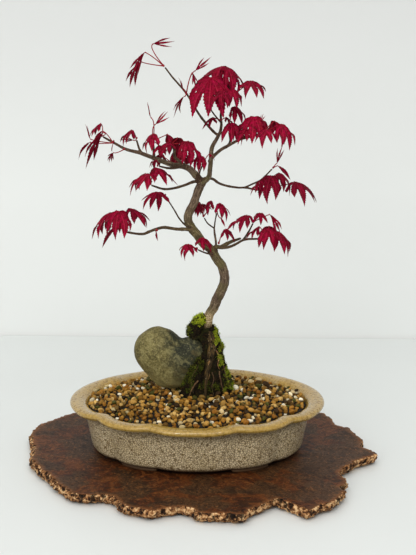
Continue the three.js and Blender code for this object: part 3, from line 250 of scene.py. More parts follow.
# The rim of the slice's top, from above.
SLAB_OUTLINE = [
    (-154, 83), (-169, 63), (-172, 47), (-173, 35), (-169, 16), (-163, -14), (-161, -37), (-155, -53),
    (-146, -69), (-137, -81), (-129, -98), (-119, -112), (-107, -127), (-94, -129), (-80, -128),
    (-67, -136), (-61, -150), (-46, -158), (-33, -163), (-22, -157), (0, -155), (9, -167), (28, -168),
    (50, -168), (54, -157), (63, -148), (72, -138), (79, -131), (86, -139), (97, -148), (107, -158),
    (117, -146), (127, -139), (136, -124), (141, -113), (139, -102), (144, -90), (140, -72), (142, -57),
    (153, -40), (165, -27), (178.5, -14), (176, -5), (167, 6), (168, 27), (161, 48), (158, 60), (143, 73),
    (141, 86), (131, 110), (105, 122), (60, 128), (0, 132), (-60, 128), (-118, 113), (-141, 98),
]


# ---------- Materials ----------


class Paint:
    """One material, built node by node around a Principled shader."""

    def __init__(self, name):
        self.material = bpy.data.materials.new(name)
        self.material.use_nodes = True
        self.tree = self.material.node_tree
        self.tree.nodes.clear()
        self.shader = self.add("ShaderNodeBsdfPrincipled")
        self.output = self.add("ShaderNodeOutputMaterial")
        self.join(self.output.inputs["Surface"], self.shader.outputs[0])

    def add(self, kind, **settings):
        node = self.tree.nodes.new(kind)
        for key, value in settings.items():
            setattr(node, key, value)
        return node

    def join(self, socket, value):
        """Links an output to a socket, or gives the socket a constant."""
        if isinstance(value, bpy.types.NodeSocket):
            self.tree.links.new(value, socket)
        else:
            socket.default_value = value

    def set(self, name, value):
        self.join(self.shader.inputs[name], value)

    def finish(self, colour, roughness, specular=0.5, normal=None):
        """Sets the shader's main sockets and gives the finished material."""
        self.set("Base Color", colour)
        self.set("Roughness", roughness)
        self.set("Specular IOR Level", specular)
        if normal is not None:
            self.set("Normal", normal)
        return self.material

    def blend(self, share, other):
        """Mixes a share of another shader into the surface."""
        both = self.add("ShaderNodeMixShader")
        for socket, value in zip(both.inputs, (share, self.shader.outputs[0], other.outputs[0])):
            self.join(socket, value)
        self.join(self.output.inputs["Surface"], both.outputs[0])

    def stretch(self, where, scale):
        """A place with each of its axes scaled."""
        mapping = self.add("ShaderNodeMapping")
        self.join(mapping.inputs["Vector"], where)
        mapping.inputs["Scale"].default_value = scale
        return mapping.outputs[0]

    def place(self, stretch=(1.0, 1.0, 1.0)):
        """The point being shaded, in millimetres of the object."""
        where = self.add("ShaderNodeTexCoord").outputs["Object"]
        return self.stretch(where, [s / MM for s in stretch])

    def part(self, vector, name):
        """The X, Y or Z of a vector."""
        split = self.add("ShaderNodeSeparateXYZ")
        self.join(split.inputs[0], vector)
        return split.outputs[name]

    def mark(self, part=None):
        """What is stored on the mesh's points about their place: all of it, or its X, Y or Z."""
        vector = self.add("ShaderNodeAttribute", attribute_name="place").outputs["Vector"]
        return self.part(vector, part) if part else vector

    def tinted(self, colour):
        """The colour times the tint that is stored on the mesh's points."""
        tint = self.add("ShaderNodeAttribute", attribute_name="tint").outputs["Color"]
        return self.mix(1.0, tint, colour, "MULTIPLY")

    def noise(self, where, size, detail=3.0, roughness=0.55, distortion=0.0, output="Fac"):
        node = self.add("ShaderNodeTexNoise")
        self.join(node.inputs["Vector"], where)
        node.inputs["Scale"].default_value = 1.0 / size
        node.inputs["Detail"].default_value = detail
        node.inputs["Roughness"].default_value = roughness
        node.inputs["Distortion"].default_value = distortion
        return node.outputs[output]

    def cells(self, where, size, feature="F1"):
        node = self.add("ShaderNodeTexVoronoi", feature=feature)
        self.join(node.inputs["Vector"], where)
        node.inputs["Scale"].default_value = 1.0 / size
        return node.outputs["Distance"]

    def ramp(self, value, *stops):
        """Colours or greys by a value: each stop is (place, colour or grey)."""
        node = self.add("ShaderNodeValToRGB")
        self.join(node.inputs[0], value)
        while len(node.color_ramp.elements) < len(stops):
            node.color_ramp.elements.new(1.0)
        for element, (where, colour) in zip(node.color_ramp.elements, stops):
            element.position = where
            element.color = rgb(colour) if isinstance(colour, tuple) else (colour,) * 3 + (1.0,)
        return node.outputs[0]

    def mix(self, share, first, second, blend="MIX"):
        node = self.add("ShaderNodeMix", data_type="RGBA", blend_type=blend)
        self.join(node.inputs["Factor"], share)
        self.join(node.inputs["A"], rgb(first))
        self.join(node.inputs["B"], rgb(second))
        return node.outputs["Result"]

    def over(self, under, top, value, *stops):
        """A colour laid over another, as strongly as a ramp of the value says."""
        return self.mix(self.ramp(value, *stops), under, top)

    def sum(self, operation, first, second=0.0, third=0.0):
        node = self.add("ShaderNodeMath", operation=operation)
        for socket, value in zip(node.inputs, (first, second, third)):
            self.join(socket, value)
        return node.outputs[0]

    def weighted(self, first, weight, second):
        """A value, plus another one times its weight."""
        return self.sum("ADD", first, self.sum("MULTIPLY", second, weight))

    def bump(self, height, depth, strength=1.0, under=None):
        """Relief of the given depth in millimetres."""
        node = self.add("ShaderNodeBump")
        self.join(node.inputs["Height"], height)
        node.inputs["Strength"].default_value = strength
        node.inputs["Distance"].default_value = depth * MM
        if under is not None:
            self.join(node.inputs["Normal"], under)
        return node.outputs[0]


def rgb(colour):
    """A socket as it is, or a colour given in sRGB from 0 to 255, made linear."""
    if isinstance(colour, bpy.types.NodeSocket):
        return colour
    shares = [v / 255 for v in colour]
    return (*[c / 12.92 if c <= 0.04045 else ((c + 0.055) / 1.055) ** 2.4 for c in shares], 1.0)


# ---------- Meshes ----------


class Shape:
    """Points with their faces, marks and tints, gathered for one mesh."""

    def __init__(self):
        self.points, self.faces, self.marks, self.tints = [], {3: [], 4: []}, [], []
        self.count = 0

    def add(self, points, faces, marks=None, tint=(1.0, 1.0, 1.0, 1.0)):
        """faces is one array or a list of arrays of three or four indices into points."""
        points = np.asarray(points, float).reshape(-1, 3)
        for group in faces if isinstance(faces, list) else [faces]:
            group = np.asarray(group, int)
            self.faces[group.shape[1]].append(group + self.count)
        self.points.append(points)
        self.marks.append(np.zeros_like(points) if marks is None else np.asarray(marks, float))
        self.tints.append(np.broadcast_to(np.asarray(tint, float), (len(points), 4)))
        self.count += len(points)

    def add_rings(self, rings, ends, marks=None, tint=(1.0, 1.0, 1.0, 1.0)):
        """A closed skin over rings of points, with one more point at each end."""
        ring = np.arange(len(rings[0]))
        total = len(rings) * len(ring)
        faces = [grid(len(rings), len(ring), closed=True), fan(total, ring[::-1]),
                 fan(total + 1, total - len(ring) + ring)]
        self.add(np.concatenate([*rings, ends]), faces, marks, tint)

    def make(self, name, material, smooth=True, marked=False, tinted=False):
        points = np.concatenate(self.points)
        groups = [np.concatenate(g) for g in (self.faces[3], self.faces[4]) if g]
        mesh = bpy.data.meshes.new(name)
        mesh.vertices.add(len(points))
        mesh.vertices.foreach_set("co", (points * MM).astype(np.float32).ravel())
        corners = np.concatenate([g.ravel() for g in groups])
        sizes = np.concatenate([np.full(len(g), g.shape[1]) for g in groups])
        mesh.loops.add(len(corners))
        mesh.loops.foreach_set("vertex_index", corners.astype(np.int32))
        mesh.polygons.add(len(sizes))
        starts = np.concatenate([[0], np.cumsum(sizes)[:-1]])
        mesh.polygons.foreach_set("loop_start", starts.astype(np.int32))
        mesh.update(calc_edges=True)
        mesh.validate()
        if marked:
            write_marks(mesh, np.concatenate(self.marks))
        if tinted:
            tints = mesh.attributes.new("tint", "FLOAT_COLOR", "POINT")
            tints.data.foreach_set("color", np.concatenate(self.tints).astype(np.float32).ravel())
        mesh.polygons.foreach_set("use_smooth", np.full(len(sizes), smooth))
        mesh.materials.append(material)
        return link(name, mesh)


def write_marks(mesh, values):
    """Stores what the materials read about each point's place."""
    marks = mesh.attributes.new("place", "FLOAT_VECTOR", "POINT")
    marks.data.foreach_set("vector", np.asarray(values, np.float32).ravel())


def dress(piece, slot, *nodes):
    """Makes a finished piece part of the object, in place of these nodes of the source."""
    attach(piece, "root")
    if nodes:
        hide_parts(*nodes)
    return piece


def grid(rows, columns, closed=False):
    """The quads of a grid of points given row by row, closed round its columns or not."""
    steps = columns if closed else columns - 1
    row, column = np.meshgrid(np.arange(rows - 1), np.arange(steps), indexing="ij")
    near = row * columns + column
    far = row * columns + (column + 1) % columns
    return np.stack([near, far, far + columns, near + columns], -1).reshape(-1, 4)


def fan(centre, ring):
    """Triangles from one point to a ring of points."""
    return np.array([(centre, a, b) for a, b in zip(ring, np.roll(ring, -1))])


def icosphere(subdivisions):
    """The points and triangles of a ball of radius 1."""
    ball = bmesh.new()
    bmesh.ops.create_icosphere(ball, subdivisions=subdivisions, radius=1.0)
    points = np.array([v.co for v in ball.verts])
    faces = np.array([[v.index for v in f.verts] for f in ball.faces])
    ball.free()
    return points, faces


def read_surface(piece):
    """A piece's points, and its normals there."""
    count = len(piece.data.vertices) * 3
    points, normals = np.empty(count, np.float32), np.empty(count, np.float32)
    piece.data.vertices.foreach_get("co", points)
    piece.data.vertex_normals.foreach_get("vector", normals)
    return points.reshape(-1, 3).astype(float) / MM, normals.reshape(-1, 3).astype(float)


def write_points(piece, points):
    piece.data.vertices.foreach_set("co", (points * MM).astype(np.float32).ravel())
    piece.data.update()


def surface_tree(piece):
    """A search tree of a piece's surface."""
    mesh = piece.data
    return BVHTree.FromPolygons([v.co for v in mesh.vertices], [tuple(p.vertices) for p in mesh.polygons])


def fuse(piece, cell, smoothing):
    """Remeshes a piece into one skin with cells of the given size."""
    remesh = piece.modifiers.new("fuse", "REMESH")
    remesh.mode, remesh.voxel_size = "VOXEL", cell * MM
    soften = piece.modifiers.new("soften", "SMOOTH")
    soften.iterations, soften.factor = smoothing, 0.5
    bake(piece)


def bake(piece):
    """Turns a piece's modifiers into its mesh."""
    graph = bpy.context.evaluated_depsgraph_get()
    graph.update()
    mesh = bpy.data.meshes.new_from_object(piece.evaluated_get(graph))
    piece.modifiers.clear()
    old, piece.data = piece.data, mesh
    bpy.data.meshes.remove(old)
    mesh.polygons.foreach_set("use_smooth", np.ones(len(mesh.polygons), bool))


def lumps(points, size, octaves, seed):
    """Noise from about -1 to 1 at each point, with lumps of the given size."""
    away = Vector((seed * 17.3, seed * 5.1, seed * 9.7))
    return np.array([noise.fractal(Vector(p) / size + away, 0.8, 2.0, octaves) for p in points])


def unit(vectors):
    length = np.linalg.norm(vectors, axis=-1, keepdims=True)
    return vectors / np.maximum(length, 1e-9)


def smoothstep(low, high, value):
    share = np.clip((value - low) / (high - low), 0.0, 1.0)
    return share * share * (3 - 2 * share)


# ---------- Lines and tubes ----------

OPEN_CURVE_STEPS, CLOSED_CURVE_STEPS = 13, 15


def curve_spans(points, steps):
    """A centripetal curve through the points, span by span, from the second to the last but one."""
    def between(a, b, low, high):
        return a + (b - a) * (t - low) / (high - low)

    spans = []
    for a, b, c, d in zip(points, points[1:], points[2:], points[3:]):
        gaps = [max(np.linalg.norm(q - p), 1e-6) ** 0.5 for p, q in ((a, b), (b, c), (c, d))]
        k = np.cumsum([0.0] + gaps)
        t = np.linspace(k[1], k[2], steps)[:-1, None]
        ab, bc, cd = between(a, b, k[0], k[1]), between(b, c, k[1], k[2]), between(c, d, k[2], k[3])
        spans.append(between(between(ab, bc, k[0], k[2]), between(bc, cd, k[1], k[3]), k[1], k[2]))
    return spans


def curve_through(points, spacing):
    """A smooth open line through the points, evenly spaced."""
    points = np.asarray(points, float)
    ends = [2 * points[0] - points[1], *points, 2 * points[-1] - points[-2]]
    return spaced(np.concatenate([*curve_spans(ends, OPEN_CURVE_STEPS), points[-1:]]), spacing)


def closed_curve(points, spacing):
    """A smooth closed line through the points, evenly spaced."""
    points = [np.array(p, float) for p in points]
    spans = curve_spans(points[-2:] + points + points[:1], CLOSED_CURVE_STEPS)
    return spaced(np.concatenate([*spans, spans[0][:1]]), spacing)[:-1]


def step_lengths(line):
    """The distance from each point of a line to the next."""
    return np.linalg.norm(np.diff(line, axis=0), axis=1)


def run_along(line):
    """How far along the line each of its points is."""
    return np.concatenate([[0.0], np.cumsum(step_lengths(line))])


def spaced(line, spacing):
    """The same line with evenly spaced points."""
    run = run_along(line)
    count = max(int(round(run[-1] / spacing)), 2)
    at = np.linspace(0.0, run[-1], count + 1)
    return np.stack([np.interp(at, run, values) for values in line.T], -1)


def carried_frames(line):
    """Headings and two side directions along a line, carried along it without twisting."""
    heading = unit(np.gradient(line, axis=0))
    side = np.empty_like(line)
    start = np.array([0.0, 0.0, 1.0]) if abs(heading[0][2]) < 0.9 else np.array([1.0, 0.0, 0.0])
    side[0] = unit(np.cross(start, heading[0]))
    for k in range(1, len(line)):
        side[k] = unit(side[k - 1] - heading[k] * (side[k - 1] @ heading[k]))
    return heading, side, np.cross(heading, side)


def tube(shape, line, radii, sides, tint=(1.0, 1.0, 1.0, 1.0), cap=0.6, layer=0.0):
    """A closed round tube along a line, with ends rounded by a share of their radius."""
    radii = np.broadcast_to(radii, len(line)).astype(float)
    heading, side, up = carried_frames(line)
    turn = np.linspace(0, 2 * np.pi, sides, endpoint=False)
    ring = np.cos(turn)[:, None, None] * side + np.sin(turn)[:, None, None] * up
    rings = (line + ring * radii[:, None]).transpose(1, 0, 2)
    ends = [line[0] - heading[0] * radii[0] * cap, line[-1] + heading[-1] * radii[-1] * cap]
    run = run_along(line)
    body = [np.tile(turn, len(line)), np.repeat(run, sides), np.full(len(line) * sides, layer)]
    marks = np.concatenate([np.stack(body, -1), [[0, 0, layer], [0, run[-1], layer]]])
    shape.add_rings(rings, ends, marks, tint)


def rounded(section, longest):
    """A line of (corner, radius) with its corners rounded and its long edges cut into steps."""
    line = []
    for k, (corner, radius) in enumerate(section):
        corner = np.array(corner, float)
        if radius == 0:
            line.append(corner)
            continue
        ways = [np.array(section[k + d][0], float) - corner for d in (-1, 1)]
        ends = [corner + w * min(radius / np.linalg.norm(w), 0.48) for w in ways]
        for t in np.linspace(0, 1, 5):
            line.append(ends[0] * (1 - t) ** 2 + corner * 2 * t * (1 - t) + ends[1] * t ** 2)
    fine = [line[0]]
    for a, b in zip(line, line[1:]):
        steps = max(int(math.ceil(np.linalg.norm(b - a) / longest)), 1)
        fine += [a + (b - a) * (k + 1) / steps for k in range(steps)]
    return np.array(fine)


# ---------- Leaves ----------

DOWN = np.array([0.0, 0.0, -1.0])
BLADE_THICKNESS = 0.24
BLADE_EDGE = 0.12
LEAF_GLOW = 0.16  # the share of light that a blade lets through
OUTER_SINUS_REACH = 0.16
SINUS_SHARE = 0.55
LONE_LOBE_ANGLE = 50
RIB_STEPS = 8
PALM_ROWS = np.array([0.0, 0.2, 0.4, 0.6, 0.8, 1.0])
LOBE_ROWS = 17
LOBE_COLUMNS = 7
LOBE_ACROSS = np.linspace(-1, 1, LOBE_COLUMNS)
PLEAT_DEPTH, PLEAT_TURN = 0.045, 2.2
TOOTH_NOTCH, TOOTH_REACH = 0.84, 0.022
# How far fingers stray sideways and up, as shares of their length, and how far they turn and fold.
FINGER_BEND, FINGER_LIFT, FINGER_TWIST, FINGER_FOLDS = 0.05, 0.04, 0.45, (0.34, 0.46)

# How a leaf is folded: the angles of its lobes from the middle one, their lengths and half widths as
# shares of the leaf's length, where its lobes part, its tilt below level, its roll, how far each lobe
# turns down by itself, and the degrees by which all its lobes bow down together.
FORMS = {
    "umbrella": ((0, 40, 78, 116), (1, 0.95, 0.8, 0.5), 0.138, 0.44, 20, 0, 0.9, 0),
    "cape": ((0, 37, 73, 108), (1, 0.95, 0.8, 0.5), 0.136, 0.44, 34, 0, 0.72, 0),
    "spread": ((0, 38, 76, 114), (1, 0.95, 0.8, 0.5), 0.134, 0.44, 12, 0, 0.6, 0),
    "bell": ((0, 42, 88), (1, 0.92, 0.7), 0.144, 0.44, 20, 0, 0.86, 0),
    "small": ((0, 42, 86), (1, 0.88, 0.66), 0.144, 0.42, 24, 0, 0.65, 0),
    "hanging": ((0, 17, 34), (1, 0.9, 0.66), 0.08, 0.42, 42, 60, 0.0, 36),
    "folded": ((0, 13), (1, 0.84), 0.072, 0.38, 42, 60, 0.0, 32),
    "young": ((0, 19), (1, 0.88), 0.064, 0.28, -8, 65, 0.0, 8),
    "perky": ((0, 18), (1, 0.84), 0.062, 0.28, -42, 60, 0.0, 0),
    "rising": ((0, 17), (1, 0.85), 0.068, 0.32, -74, 30, 0.0, 0),
    "single": ((0,), (1,), 0.12, 0.3, 30, 50, 0.0, 32),
}
# What a point belongs to, stored as the Z of its mark. The underside of a blade has 0.
BLADE, STALK, BUD = 1.0, 2.0, 3.0


def rotate(vectors, axis, angles):
    """Vectors turned about one axis, each by its own angle."""
    c, s = np.cos(angles)[..., None], np.sin(angles)[..., None]
    along = (vectors @ axis)[..., None] * axis
    return vectors * c + np.cross(axis, vectors) * s + along * (1 - c)


class Leaf:
    """One leaf's frame: where its hub is, which way it points and how its ribs run."""

    def __init__(self, x, y, z, aim, length, form):
        self.fan, self.lengths, self.width, self.sinus, tilt, roll, self.droop, self.bow = FORMS[form]
        self.hub, self.length = np.array([x, y, z], float), float(length)
        turn, tilt = math.radians(aim), math.radians(tilt)
        self.level = np.array([math.cos(turn), math.sin(turn), 0.0])
        self.aim = self.level * math.cos(tilt) + DOWN * math.sin(tilt)
        level_side = np.array([-math.sin(turn), math.cos(turn), 0.0])
        self.side = rotate(level_side, self.aim, np.array(math.radians(roll)))
        self.hinge = np.cross(self.level, DOWN)

    def rib(self, angles, lengths, shares):
        """Points, side directions and normals on ribs that leave the hub at these angles."""
        angles, lengths, shares = np.broadcast_arrays(angles, lengths, shares)
        c, s = np.cos(angles)[..., None], np.sin(angles)[..., None]
        out = self.aim * c + self.side * s
        across = self.side * c - self.aim * s
        droop = np.minimum(self.droop * (1 + 0.15 * np.sin(angles * 5 + self.length)), 1)
        point = np.zeros(out.shape) + self.hub
        for step in range(RIB_STEPS):
            at = shares * (step + 0.5) / RIB_STEPS
            reach = at * lengths / self.length
            sag = (droop * (2 * at - at * at))[..., None]
            bow = np.radians(self.bow) * (2 * reach - reach * reach)
            heading = unit(rotate(out, self.hinge, bow) * (1 - sag) + DOWN * sag)
            point = point + heading * (lengths * shares / RIB_STEPS)[..., None]
        across = rotate(across, self.hinge, bow)
        across = unit(across - heading * np.sum(across * heading, -1, keepdims=True))
        return point, across, np.cross(heading, across)


def lobe_table(leaf, seed):
    """The angle and length of each lobe, a little uneven."""
    order = [-a for a in leaf.fan[:0:-1]] + list(leaf.fan)
    step = leaf.fan[1] if len(leaf.fan) > 1 else LONE_LOBE_ANGLE
    rows = []
    for k, angle in enumerate(order):
        longer = 1 + 0.06 * math.sin(seed * 12.9898 + k * 78.233)
        turn = 0.08 * step * math.sin((seed + 7) * 12.9898 + k * 78.233)
        share = leaf.lengths[leaf.fan.index(abs(angle))] * longer
        rows.append((math.radians(angle + turn), leaf.length * share))
    return rows, math.radians(step / 2)


def lobe_width(run, base, widest):
    """A finger's half width, from where it parts from the next one to its drawn-out tip."""
    swell = base + (widest - base) * smoothstep(0.0, 0.22, run)
    taper = np.cos(np.clip((run - 0.12) / 0.88, 0, 1) * np.pi / 2) ** 1.25
    return np.maximum(swell * taper, 0.05)


def finger(leaf, angle, length, shares, base, widest, sink, rng):
    """The free part of a lobe, toothed and folded along its midrib: its rows of points and their normals."""
    run = np.linspace(0, 1, LOBE_ROWS)
    middle, sideways, normal = leaf.rib(angle, length, shares)
    half = lobe_width(run, min(base, widest), widest)
    half = half * np.where(np.arange(LOBE_ROWS) % 2, TOOTH_NOTCH, 1.0)
    bend = rng.normal(0, FINGER_BEND) * length * run ** 2
    lift = rng.normal(0, FINGER_LIFT) * length * run ** 2
    twist = rng.normal(0, FINGER_TWIST) * run
    fold = rng.random() * (FINGER_FOLDS[1] - FINGER_FOLDS[0]) + FINGER_FOLDS[0]
    spin = np.cos(twist)[:, None] * sideways + np.sin(twist)[:, None] * normal
    face = np.cos(twist)[:, None] * normal - np.sin(twist)[:, None] * sideways
    centre = middle + sideways * bend[:, None] + normal * (lift - sink * np.exp(-3 * run))[:, None]
    aside = LOBE_ACROSS[None, :, None] * half[:, None, None]
    tooth = (np.arange(LOBE_ROWS) % 2 == 0) * (run > 0.05) * (run < 0.9)
    swing = (tooth * TOOTH_REACH * length)[:, None] * np.abs(LOBE_ACROSS) ** 3
    heading = unit(np.gradient(centre, axis=0))
    blade = centre[:, None] + spin[:, None] * aside + face[:, None] * np.abs(aside) * fold
    return blade + heading[:, None] * swing[..., None], face


def add_lobe(shape, leaf, angle, length, bounds, reaches, widest, rng, tint):
    """One lobe, from the hub to its tip: its share of the palm, and its free finger."""
    start = leaf.sinus * leaf.length / length
    far = np.abs(LOBE_ACROSS)
    outer = np.where(LOBE_ACROSS < 0, bounds[0], bounds[1])
    reach = np.where(LOBE_ACROSS < 0, reaches[0], reaches[1]) * leaf.length
    angles = angle + (outer - angle) * far
    lengths = length + (leaf.length - length) * far
    arcs = start * length + (reach - start * length) * far
    pleat = PLEAT_DEPTH * leaf.length * (1 - far)
    points, normals = [], []
    for share in PALM_ROWS:
        point, _, normal = leaf.rib(angles, lengths, arcs * share / lengths)
        normals.append(normal)
        points.append(point - normal * (pleat * math.sin(share * PLEAT_TURN))[:, None])
        base = 0.5 * np.linalg.norm(point[0] - point[-1])

    run = np.linspace(0, 1, LOBE_ROWS)
    shares = start + (1 - start) * run
    sink = pleat.max() * math.sin(PLEAT_TURN)
    blade, face = finger(leaf, angle, length, shares, base, widest, sink, rng)
    blade = blade + (points[-1] - blade[0])[None] * (1 - smoothstep(0.0, 0.4, run))[:, None, None]
    points = np.concatenate([np.stack(points), blade[1:]])
    normals = np.concatenate([np.stack(normals), np.repeat(face[1:, None], LOBE_COLUMNS, 1)])
    along = np.concatenate([PALM_ROWS * start, shares[1:]])
    thick = 0.5 * (BLADE_EDGE + (BLADE_THICKNESS - BLADE_EDGE) * (1 - far ** 2))
    marks = np.stack([*np.meshgrid(LOBE_ACROSS, along), np.full(points.shape[:2], BLADE)], -1)
    add_skin(shape, points, normals * thick[None, :, None], marks, tint)


def add_skin(shape, points, skin, marks, tint):
    """A grid of points made into a thin closed body, whose underside has marks with a Z of 0."""
    rows, columns = points.shape[:2]
    count = rows * columns
    upper = grid(rows, columns)
    left = np.arange(rows) * columns
    tip = count - columns + np.arange(columns)
    edge = np.concatenate([left[::-1], left[1:] + columns - 1, tip[::-1][1:]])
    wall = np.stack([edge[:-1], edge[:-1] + count, edge[1:] + count, edge[1:]], -1)
    faces = [upper, upper[:, ::-1] + count, wall]
    shape.add(np.stack([points + skin, points - skin]), faces,
              np.stack([marks, marks * (1, 1, 0)]).reshape(-1, 3), tint)


def add_leaf(shape, bud, row, seed):
    """A leaf: its lobes side by side round the hub, and its stalk from the bud."""
    leaf = Leaf(*row)
    rng = np.random.default_rng(1000 + seed)
    lobes, half_step = lobe_table(leaf, seed)
    between = [(a[0] + b[0]) / 2 for a, b in zip(lobes, lobes[1:])]
    between = [lobes[0][0] - half_step, *between, lobes[-1][0] + half_step]
    shares = [length / leaf.length for _, length in lobes]
    sinuses = [min(leaf.sinus, SINUS_SHARE * min(pair)) for pair in zip(shares, shares[1:])]
    sinuses = [OUTER_SINUS_REACH, *sinuses, OUTER_SINUS_REACH]
    tone = 1 + rng.normal(0, 0.10)
    for k, (angle, length) in enumerate(lobes):
        widest = leaf.width * leaf.length * (0.4 + 0.6 * length / leaf.length)
        shade = tone * (1 + rng.normal(0, 0.05))
        tint = (shade, shade * (1 + rng.normal(0, 0.1)), shade, 1.0)
        add_lobe(shape, leaf, angle, length, between[k:k + 2], sinuses[k:k + 2], widest, rng, tint)
    add_stalk(shape, np.asarray(bud, float), leaf)


def add_stalk(shape, bud, leaf):
    """A stalk that leaves the bud upwards and meets the hub from behind."""
    reach = np.linalg.norm(leaf.hub - bud)
    bend = leaf.hub - leaf.level * 0.25 * reach + DOWN * 0.1 * reach
    t = np.linspace(0, 1, 11)[:, None]
    line = bud * (1 - t) ** 2 + bend * 2 * t * (1 - t) + leaf.hub * t ** 2
    radii = np.interp(t[:, 0], [0, 0.12, 0.9, 1], [0.75, 0.5, 0.45, 0.7])
    tube(shape, line, radii, 7, layer=STALK)


def add_bud(shape, centre, rng):
    """A small pointed bud with the scales that stay at its foot."""
    t = np.linspace(0, 1, 6)[:, None]
    for size in (1.0, 0.75, 0.75, 0.75):
        turn = rng.random() * 6.28
        lean = np.array([math.cos(turn), math.sin(turn), 1.6])
        lean = lean / np.linalg.norm(lean)
        line = np.asarray(centre, float) - lean * 0.8 + lean * 2.6 * t * (1.0 if size == 1 else 0.7)
        radii = 1.05 * np.sin(np.pi * (0.12 + 0.8 * t[:, 0])) ** 0.8 * size
        tube(shape, line, radii, 8, layer=BUD)


def leaf_paint():
    """Crimson blades with paler veins, duller below, that let a little light through."""
    paint = Paint("leaf")
    where = paint.place()
    aside, along, layer = paint.sum("ABSOLUTE", paint.mark("X")), paint.mark("Y"), paint.mark("Z")
    speck = paint.noise(where, 2.2, 4.0, 0.6)
    patches = paint.noise(where, 9.0, 3.0, 0.5)
    slant = paint.sum("SUBTRACT", paint.sum("MULTIPLY", along, 16.0), paint.sum("MULTIPLY", aside, 1.6))
    side_vein = paint.ramp(paint.sum("PINGPONG", slant, 0.5), (0.0, 0.5), (0.09, 0.0))
    vein = paint.sum("MAXIMUM", paint.ramp(aside, (0.05, 1.0), (0.16, 0.0)), side_vein)
    faint = paint.sum("MULTIPLY", vein, 0.4)
    blade = paint.ramp(speck, (0.36, (78, 0, 14)), (0.5, (114, 0, 30)), (0.64, (152, 2, 54)))
    blade = paint.over(blade, (150, 6, 40), patches, (0.4, 0.0), (0.7, 0.4))
    blade = paint.mix(faint, blade, (190, 48, 76))
    blade = paint.over(blade, (110, 8, 20), aside, (0.82, 0.0), (1.0, 0.35))
    stalk = paint.over((132, 14, 32), (158, 34, 44), speck, (0.4, 0.0), (0.6, 1.0))
    bud = paint.over((132, 24, 40), (172, 66, 70), speck, (0.4, 0.0), (0.6, 1.0))
    colour = paint.mix(faint, (108, 4, 28), (164, 46, 66))
    for kind, top in ((BLADE, blade), (STALK, stalk), (BUD, bud)):
        colour = paint.mix(paint.sum("COMPARE", layer, kind, 0.4), colour, top)
    colour = paint.tinted(colour)
    relief = paint.bump(vein, 0.12, 0.7)
    relief = paint.bump(paint.noise(where, 0.8, 2.0), 0.08, 0.4, relief)
    paint.finish(colour, paint.ramp(speck, (0.3, 0.42), (0.7, 0.6)), 0.07, relief)
    glow = paint.add("ShaderNodeBsdfTranslucent")
    paint.join(glow.inputs["Color"], paint.mix(0.4, colour, (190, 6, 40)))
    paint.blend(LEAF_GLOW, glow)
    return paint.material


def make_leaves():
    material = leaf_paint()
    for index, (name, (bud, leaves)) in enumerate(SPRAYS.items()):
        shape = Shape()
        for k, row in enumerate(leaves):
            add_leaf(shape, bud, row, index * 10 + k)
        add_bud(shape, bud, np.random.default_rng(index))
        piece = shape.make("leaves_" + name, material, marked=True, tinted=True)
        dress(piece, "leaf", "spray_" + name)


# ---------- Tree ----------

BARK_CELL = 0.42
LIMB_STEP = 1.1
LIMB_SIDES = 16
THINNEST_TWIG = 0.62

# Thickenings where the bigger limbs part, each a place and a radius.
COLLARS = [((4.5, 10, 280.5), 4.9), ((15.5, 6.5, 212), 5.4), ((-4, 9.5, 232.5), 4.9), ((13, 7, 301), 2.6)]


def limb_line(name, spacing):
    """A limb's centre line, the share of the way at each of its points, and its radius there."""
    route, diameters = LIMBS[name]
    line = curve_through(route, spacing)
    share = np.linspace(0, 1, len(line))
    return line, share, np.interp(share, np.linspace(0, 1, len(diameters)), diameters) / 2


def grow_limb(shape, name, rng):
    """A limb with slight swellings at its nodes."""
    line, share, radii = limb_line(name, LIMB_STEP)
    run = share * step_lengths(line).sum()
    pace = 11 + radii.mean() * 5
    nodes = np.abs(((run / pace + rng.random()) % 1) - 0.5) * pace
    swelling = 0.14 if radii.mean() < 2.2 else 0.05
    radii = radii * (1 + swelling * np.exp(-(nodes / 1.1) ** 2))
    tube(shape, line, np.maximum(radii, THINNEST_TWIG), LIMB_SIDES, cap=0.7)


def limb_lines():
    """Every limb's centre line, with the run along it, its radius and a side direction."""
    rows = []
    for number, name in enumerate(LIMBS):
        line, share, radii = limb_line(name, 1.5)
        run = share * step_lengths(line).sum() + number * 37
        rows.append(np.column_stack([line, run, radii, carried_frames(line)[1]]))
    return np.concatenate(rows)


def nearest_limb(points):
    """For each point, the nearest row of limb_lines."""
    rows = limb_lines()
    tree = KDTree(len(rows))
    for k, row in enumerate(rows):
        tree.insert(row[:3], k)
    tree.balance()
    return rows[[tree.find(p)[1] for p in points]]


def make_tree():
    """The trunk, limbs and twigs fused into one skin, then furrowed along the limbs."""
    rng = np.random.default_rng(5)
    shape = Shape()
    for name in LIMBS:
        grow_limb(shape, name, rng)
    for place, radius in COLLARS:
        slant = np.array([0.6, 0, 1.0]) * radius * 0.6
        line = np.array(place, float) + np.linspace(-1, 1, 5)[:, None] * slant
        tube(shape, line, radius * np.array([0.7, 0.95, 1.0, 0.95, 0.7]), 12, cap=0.4)
    tree = shape.make("tree_bark", bark_paint())
    fuse(tree, BARK_CELL, smoothing=2)
    points, normals = read_surface(tree)
    limb = nearest_limb(points)
    run, radius, side = limb[:, 3], limb[:, 4], limb[:, 5:8]
    away = points - limb[:, :3]
    angle = np.arctan2(np.linalg.norm(np.cross(side, away), axis=1), np.sum(side * away, 1))
    furrows = lumps(np.stack([angle * radius * 2.2, run * 0.22, radius * 0], -1), 1.5, 3, 1.0)
    knobs = lumps(points, 5.0, 3, 2.0)
    girth = smoothstep(1.0, 4.5, radius)
    relief = furrows * (0.05 + 0.16 * girth) + knobs * (0.05 + 0.35 * girth)
    write_points(tree, points + normals * relief[:, None])
    write_marks(tree.data, np.stack([angle * radius, run, radius], -1))
    dress(tree, "bark", "tree")


